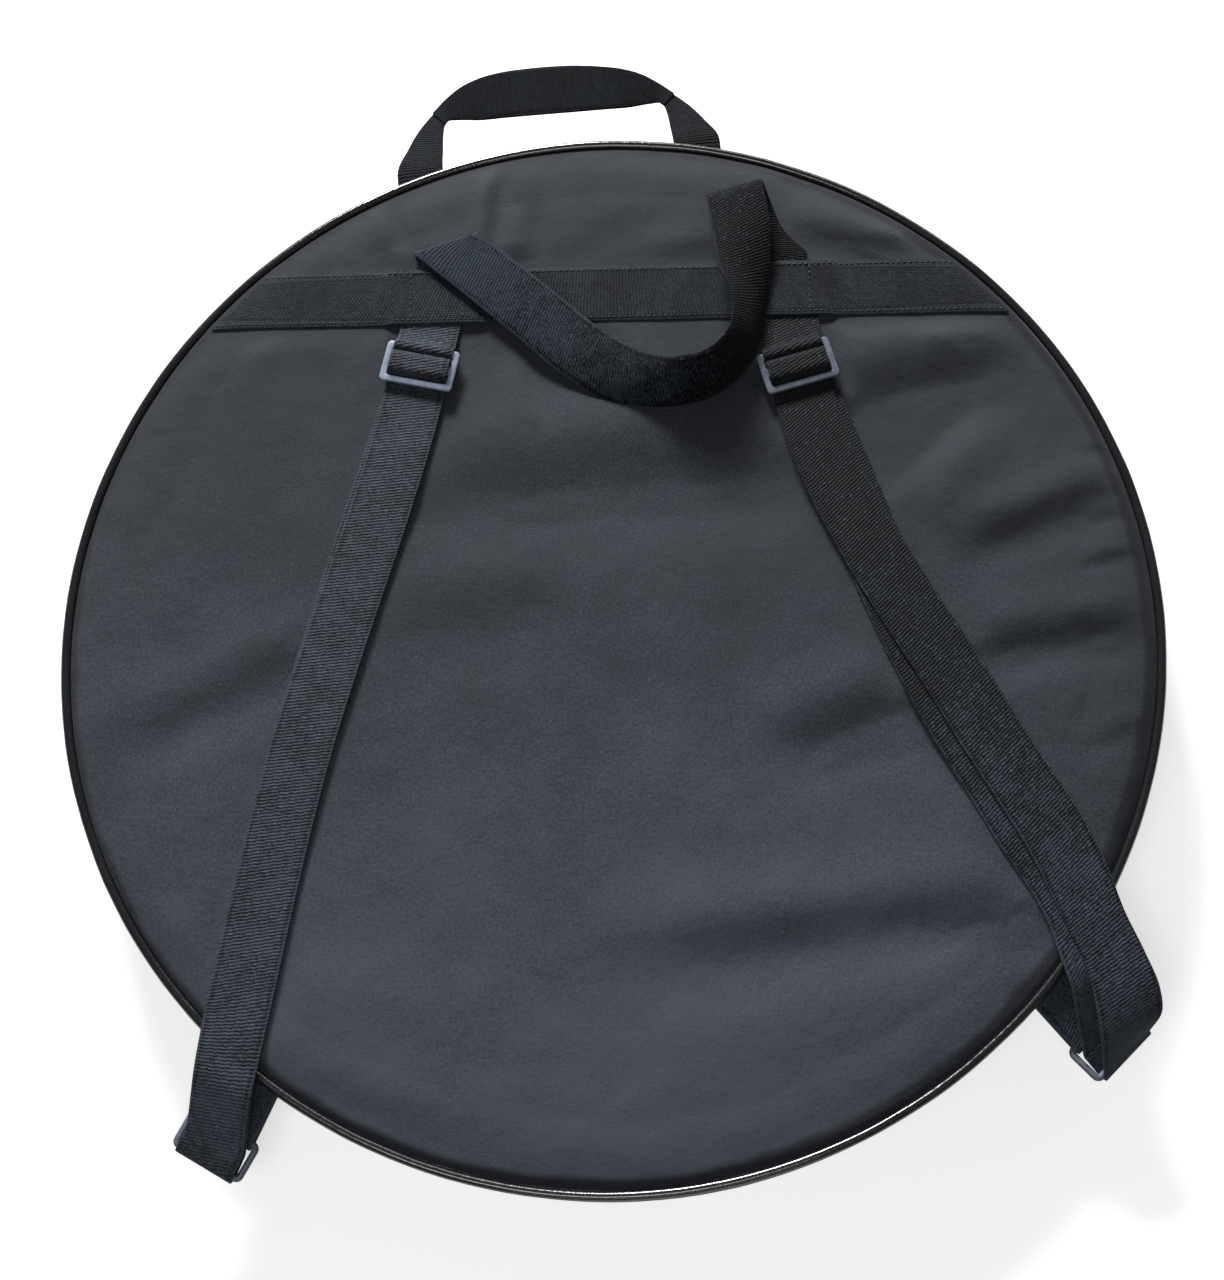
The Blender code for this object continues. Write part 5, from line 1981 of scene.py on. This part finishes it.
@dataclass
class GrabLoop:
    """The free loop between the strap tops: it folds beyond the band, crosses it, rises and comes back."""

    rise: float = 0.016
    margin: float = 0.004
    fold_x: float = -0.305
    fold_y: float = 0.762
    fold_turn: float = 0.102
    rows: tuple[tuple[float, float, float, float, float, float], ...] = (
        (-0.255, 0.720, 0.36, 0.261, 0.0, 0.0),
        (-0.137, 0.615, 0.37, 0.272, 0.02, 0.0005),
        (-0.034, 0.521, 0.42, 0.287, 0.06, 0.0016),
        (0.046, 0.468, 0.58, 0.350, 0.15, 0.0034),
        (0.125, 0.450, 0.84, 0.440, 0.30, 0.0058),
        (0.202, 0.470, 0.94, 0.600, 0.35, 0.0060),
        (0.252, 0.525, 0.95, 0.810, 0.36, 0.0046),
        (0.268, 0.600, 0.95, 0.980, 0.31, 0.0028),
        (0.263, 0.690, 0.93, 1.050, 0.14, 0.0014),
        (0.258, 0.780, 0.88, 1.085, 0.03, 0.0006),
        (0.248, 0.860, 0.62, 1.094, 0.0, 0.0),
        (0.264, 0.822, 0.26, 1.094, 0.0, 0.0),
        (0.288, 0.765, 0.10, 1.100, 0.0, 0.0),
    )

    def end(self, strap: ShoulderStrap) -> tuple[Vector, Vector]:
        """Where the loop starts under the band beside a strap, and where it leaves it.

        Args:
            strap: The strap.

        Returns:
            The two places.
        """
        beyond = LAYOUT.band_share * LAYOUT.rim + WEB.width / 2 - strap.root.y + self.margin
        low = UP * (LAYOUT.panel_top + WEB.level(0))
        start = strap.root + strap.root_run * (LAYOUT.gap / 2) + low
        return start, strap.root + strap.root_run * beyond + low

    def fold(self, run: Vector, low: float, high: float) -> list[Pair]:
        """Edge pairs of the half turn at the fold, for webbing that comes in along a run.

        Args:
            run: The run.
            low: Height where it comes in.
            high: Height where it goes back.

        Returns:
            The pairs in their order.
        """
        line = polar(1.0, self.fold_turn * pi)
        half = WEB.width / 2 / abs(line.cross(run).z)
        radius = (high - low) / 2
        turn = []
        for angle in (pi * k / 12 for k in range(13)):
            point = on_plan(self.fold_x, self.fold_y) + across(line) * (radius * sin(angle))
            point.z = low + radius * (1 - cos(angle))
            turn.append(edges(point, line, half))
        return turn

    def build(self) -> None:
        """Model and dress the loop."""
        left, right = STRAPS
        first_width, last_width = -across(left.root_run), across(right.root_run)
        start, leave = self.end(left)
        stop, enter = self.end(right)
        pairs = [edges(start + (leave - start) * (k / 4), first_width) for k in range(5)]
        high = LAYOUT.panel_top + self.rows[0][2] * self.rise
        turn = self.fold(left.root_run, LAYOUT.panel_top + WEB.level(0), high)
        pairs += between(pairs[-1], turn[0], 6, range(1, 6)) + turn[:-1]
        flat = len(pairs)
        rows = [turn[-1]]
        for x, y, height, turned, tilt, _ in self.rows:
            point = on_plan(x, y, LAYOUT.panel_top + height * self.rise)
            rows.append(edges(point, polar(cos(tilt * pi), turned * pi, sin(tilt * pi))))
        pairs += curve_pairs([*rows, edges(enter, last_width)], 9)
        curls = [0.0, *(row[-1] for row in self.rows), 0.0]
        stations = np.linspace(0, len(curls) - 1, len(pairs) - flat)
        pairs += [edges(enter + (stop - enter) * (k / 4), last_width) for k in range(1, 5)]
        crowns = [0.0] * flat + list(np.interp(stations, range(len(curls)), curls)) + [0.0] * 4
        # The loop's tone carries painted shade that darkens its rising right-hand part.
        BENCH.ribbon("Grab_Loop", pairs, WebTone.LOOP, "back_shell", "grab_loop", crowns=crowns, slant=0.35)


@dataclass
class CarryHandle:
    """The carry handle: two legs sewn under the piping and the grip folded across them."""

    place: float = radians(95.6)
    half_span: float = 0.0935
    reach: float = 0.074
    leg: float = 0.0265
    droop: float = radians(16)
    clearance: float = 0.0015
    lean: float = 0.08
    waver: float = 0.0006
    grip_lift: float = 0.0012
    outer_lift: float = 0.0020
    inner_drop: float = 0.0045
    bend: float = 0.0012
    outer: tuple[tuple[float, float], ...] = (
        (1.0, 0.0),
        (0.93, 0.24),
        (0.856, 0.43),
        (0.765, 0.60),
        (0.674, 0.74),
        (0.57, 0.855),
        (0.46, 0.92),
        (0.31, 0.975),
        (0.16, 1.0),
        (0.0, 1.006),
    )
    inner: tuple[tuple[float, float], ...] = (
        (1.0, 0.0),
        (0.99, 0.40),
        (0.98, 0.70),
        (0.965, 0.86),
        (0.93, 0.96),
        (0.84, 1.0),
        (0.66, 1.0),
        (0.44, 1.0),
        (0.22, 1.0),
        (0.0, 1.0),
    )
    boundary: int = 3
    tucks: tuple[float, ...] = (0.0, 0.35, 0.7)

    def __post_init__(self) -> None:
        """Work out the axis and the plane that the handle lies in."""
        self.outward = polar(1.0, self.place)
        self.sideways = Vector((self.outward.y, -self.outward.x, 0))
        self.span = self.half_span - self.leg
        self.axis = sqrt(LAYOUT.rim**2 - self.span**2) + self.clearance
        self.pivot = self.outward * self.axis + UP * WEB.seam
        self.drooped = self.outward * cos(self.droop) - UP * sin(self.droop)

    def spot(self, x: float, y: float, lift: float) -> Vector:
        """A place on the handle's plane.

        Args:
            x: Sideways from the middle.
            y: Outward from the axis.
            lift: Height over the plane.

        Returns:
            The place.
        """
        lift += self.waver * unrest(x, y, 30.0, 6.0)
        y -= self.lean * x * y / self.reach
        return self.pivot + self.sideways * x + self.drooped * y + self.sideways.cross(self.drooped) * lift

    def grip(self, half: list[tuple[float, float, float, float]]) -> None:
        """Model and dress the grip from the rows of its right half.

        Args:
            half: Each row's outer X and Y, then inner X and Y.
        """
        rows = []
        for k, row in enumerate(half):
            share = min(k / 3, 1.0)
            lifts = (self.grip_lift + self.outer_lift * share, self.grip_lift - self.inner_drop * share)
            rows.append((*row, *lifts))
        pairs = [(self.spot(-a, b, up), self.spot(-c, d, down)) for a, b, c, d, up, down in rows]
        back = reversed(rows[:-1])
        pairs += [(self.spot(a, b, up), self.spot(c, d, down)) for a, b, c, d, up, down in back]
        BENCH.ribbon("Carry_Handle_Grip", curve_pairs(pairs, 6), WebTone.HANDLE, "handle", "carry_handle")

    def side(self, name: str, sign: float, half: list[tuple[float, float, float, float]]) -> None:
        """Model and dress one leg from its rows.

        Args:
            name: Left or Right.
            sign: -1 on the left, 1 on the right.
            half: Each row's outer X and Y, then inner X and Y.
        """
        radius = LAYOUT.gusset + LAYOUT.gap
        rows = []
        for tuck in self.tucks:
            pair = []
            for x in (self.half_span, self.span):
                back = sqrt(radius * radius - x * x) - self.axis
                pair.append(self.pivot + self.sideways * (sign * x) + self.outward * (back * (1 - tuck)))
            rows.append(tuple(pair))
        rows += [(self.spot(sign * a, b, 0.0), self.spot(sign * c, d, 0.0)) for a, b, c, d in half]
        if sign < 0:
            rows = [(b, a) for a, b in rows]
        pairs = curve_pairs(rows, 6)
        piece, root = f"Carry_Handle_{name}_Leg", f"{name.lower()}_handle_root"
        obj = BENCH.ribbon(piece, pairs, WebTone.LEG, None, root)
        shift = self.outward * self.bend
        tuple(self.pivot - shift)
        tuple(self.pivot + shift)
        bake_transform(obj)

    def build(self) -> None:
        """Model and dress the handle."""
        half = []
        for (ox, oy), (ix, iy) in zip(self.outer, self.inner):
            half.append((ox * self.half_span, oy * self.reach, ix * self.span, iy * (self.reach - WEB.width)))
        self.grip(half[self.boundary :])
        for name, sign in (("Left", -1), ("Right", 1)):
            self.side(name, sign, half[: self.boundary + 2])


@dataclass
class ZipPulls:
    """The two sliders with their bridges, inner plates and pulls."""

    bevel: float = 0.0004

    def build(self) -> None:
        """Ease and dress the sliders' nodes."""
        parts = (("zip_slider", "_Zip_Slider", "_slider"), ("slider_inner_plate", "_Slider_Plate", "_slider"))
        for side in ("left", "right"):
            for node, part, body in (*parts, ("zip_pull", "_Zip_Pull", "_pull")):
                BENCH.softened(f"{side}_{node}", side.title() + part, self.bevel, CoatedMetal(), side + body)


# Studio


@dataclass(frozen=True)
class Lamp:
    """A soft lamp: where it stands, its size and power."""

    name: str
    place: Point
    size: tuple[float, float]
    power: float

    def hang(self, aim: Vector) -> None:
        """Hang the lamp, pointed at a place.

        Args:
            aim: The place that it points at.
        """
        data = bpy.data.lights.new(self.name, "AREA")
        data.shape = "RECTANGLE"
        data.size, data.size_y = self.size
        data.energy = self.power
        turned = (aim - Vector(self.place)).to_track_quat("-Z", "Y").to_matrix().to_4x4()
        add_object(self.name, data).matrix_world = Matrix.Translation(self.place) @ turned


@dataclass
class Studio:
    """The pale floor, the lamps and the camera."""

    lens: float = 53.05
    eye: Point = (0.0503, -0.2994, 1.0028)
    right: Point = (0.99876, -0.00087, -0.04983)
    up: Point = (0.01541, 0.95629, 0.29202)
    aim: Point = (0, 0, 0.05)
    world: float = 0.115
    pale: Colour = (0.86, 0.86, 0.86, 1.0)
    glow: float = 0.60
    lamps: tuple[Lamp, ...] = (
        Lamp("Key_Softbox", (-0.70, 2.90, 1.55), (1.0, 0.6), 170.0),
        Lamp("Top_Fill", (-0.17, -0.65, 1.45), (0.8, 0.5), 5.5),
        Lamp("Far_Strip", (0.1, 1.6, 0.60), (1.6, 0.16), 6.0),
        Lamp("Near_Strip", (0.1, -1.5, 0.9), (1.0, 0.2), 1.0),
    )

    def build(self) -> None:
        """Set up the floor, light and camera."""
        bpy.context.scene.view_settings.view_transform = "Standard"
        self.floor()
        self.sky()
        for lamp in self.lamps:
            lamp.hang(Vector(self.aim))
        self.camera()

    def camera(self) -> None:
        """Put the camera where the photograph was taken from."""
        camera = bpy.data.cameras.new("Camera")
        camera.lens = self.lens
        camera.clip_start = 0.01
        obj = add_object("Camera", camera)
        right, up = Vector(self.right), Vector(self.up)
        turned = Matrix((right, up, right.cross(up))).transposed().to_4x4()
        obj.matrix_world = Matrix.Translation(self.eye) @ turned
        bpy.context.scene.camera = obj

    def floor(self) -> None:
        """The floor, white to the camera with the object's shadow on it."""
        bpy.ops.mesh.primitive_grid_add(x_subdivisions=4, y_subdivisions=4, size=80, location=(0, 0, -0.0002))
        floor = bpy.context.object
        floor.name = "Studio_Floor"
        r = Recipe(bpy.data.materials.new("Studio_Floor"))
        rays = ("Is Camera Ray", "Is Glossy Ray")
        seen, shine = (r.node("ShaderNodeLightPath", {}, {}, ray) for ray in rays)
        paint = r.node("ShaderNodeBsdfDiffuse", {}, {"Color": self.pale})
        strength = (seen + shine * 0.2) * self.glow
        glow = r.node("ShaderNodeEmission", {}, {"Color": (1, 1, 1, 1), "Strength": strength})
        r.close(r.node("ShaderNodeAddShader", {}, {0: paint, 1: glow}))
        floor.data.materials.append(r.owner)

    def sky(self) -> None:
        """Even light all round, white where the camera sees it."""
        world = bpy.data.worlds.new("Studio")
        bpy.context.scene.world = world
        r = Recipe(world, "ShaderNodeOutputWorld")
        soft, white = (r.node("ShaderNodeBackground", {}, {"Strength": value}) for value in (self.world, 1.0))
        seen = r.node("ShaderNodeLightPath", {}, {}, "Is Camera Ray")
        r.close(r.node("ShaderNodeMixShader", {}, {0: seen, 1: soft, 2: white}))


BENCH = Bench()
STRAPS = (
    ShoulderStrap(
        "left",
        ((-0.323, 0.66), (-0.350, 0.508), (-0.564, -0.321), (-0.626, -0.66)),
        ((-0.350, 0.508), (-0.564, -0.321), (-0.626, -0.66)),
        radians(-127.7),
        radians(-119),
        0.22,
    ),
    ShoulderStrap(
        "right",
        ((0.337, 0.66), (0.359, 0.492), (0.665, -0.195), (0.788, -0.42), (0.832, -0.53)),
        ((0.359, 0.492), (0.607, -0.16), (0.72, -0.37), (0.815, -0.56)),
        radians(-39.9),
        radians(-46),
        0.20,
        # SHADED paints shade on the right strap: darker overall and darker towards the far side.
        tone=WebTone.SHADED,
        skirt=(
            (0.2233, -0.1480, 0.2525, -0.1355, 0.0564),
            (0.2300, -0.1640, 0.2580, -0.1540, 0.0562),
            (0.2375, -0.1820, 0.2665, -0.1745, 0.0556),
            (0.2410, -0.2000, 0.2728, -0.1920, 0.0538),
            (0.2430, -0.2140, 0.2740, -0.2020, 0.0495),
        ),
    ),
)


def main() -> None:
    """Build the studio and every sub-assembly, logging each as it is built."""
    Studio().build()
    panels = (BackPanel(), FrontPanel(), Liner(), Piping(), Gusset())
    for part in (*panels, ZipPulls(), *STRAPS, BackBand(), GrabLoop(), CarryHandle()):
        LOG.info("building %s", type(part).__name__)
        part.build()


if __name__ == "__main__":
    main()
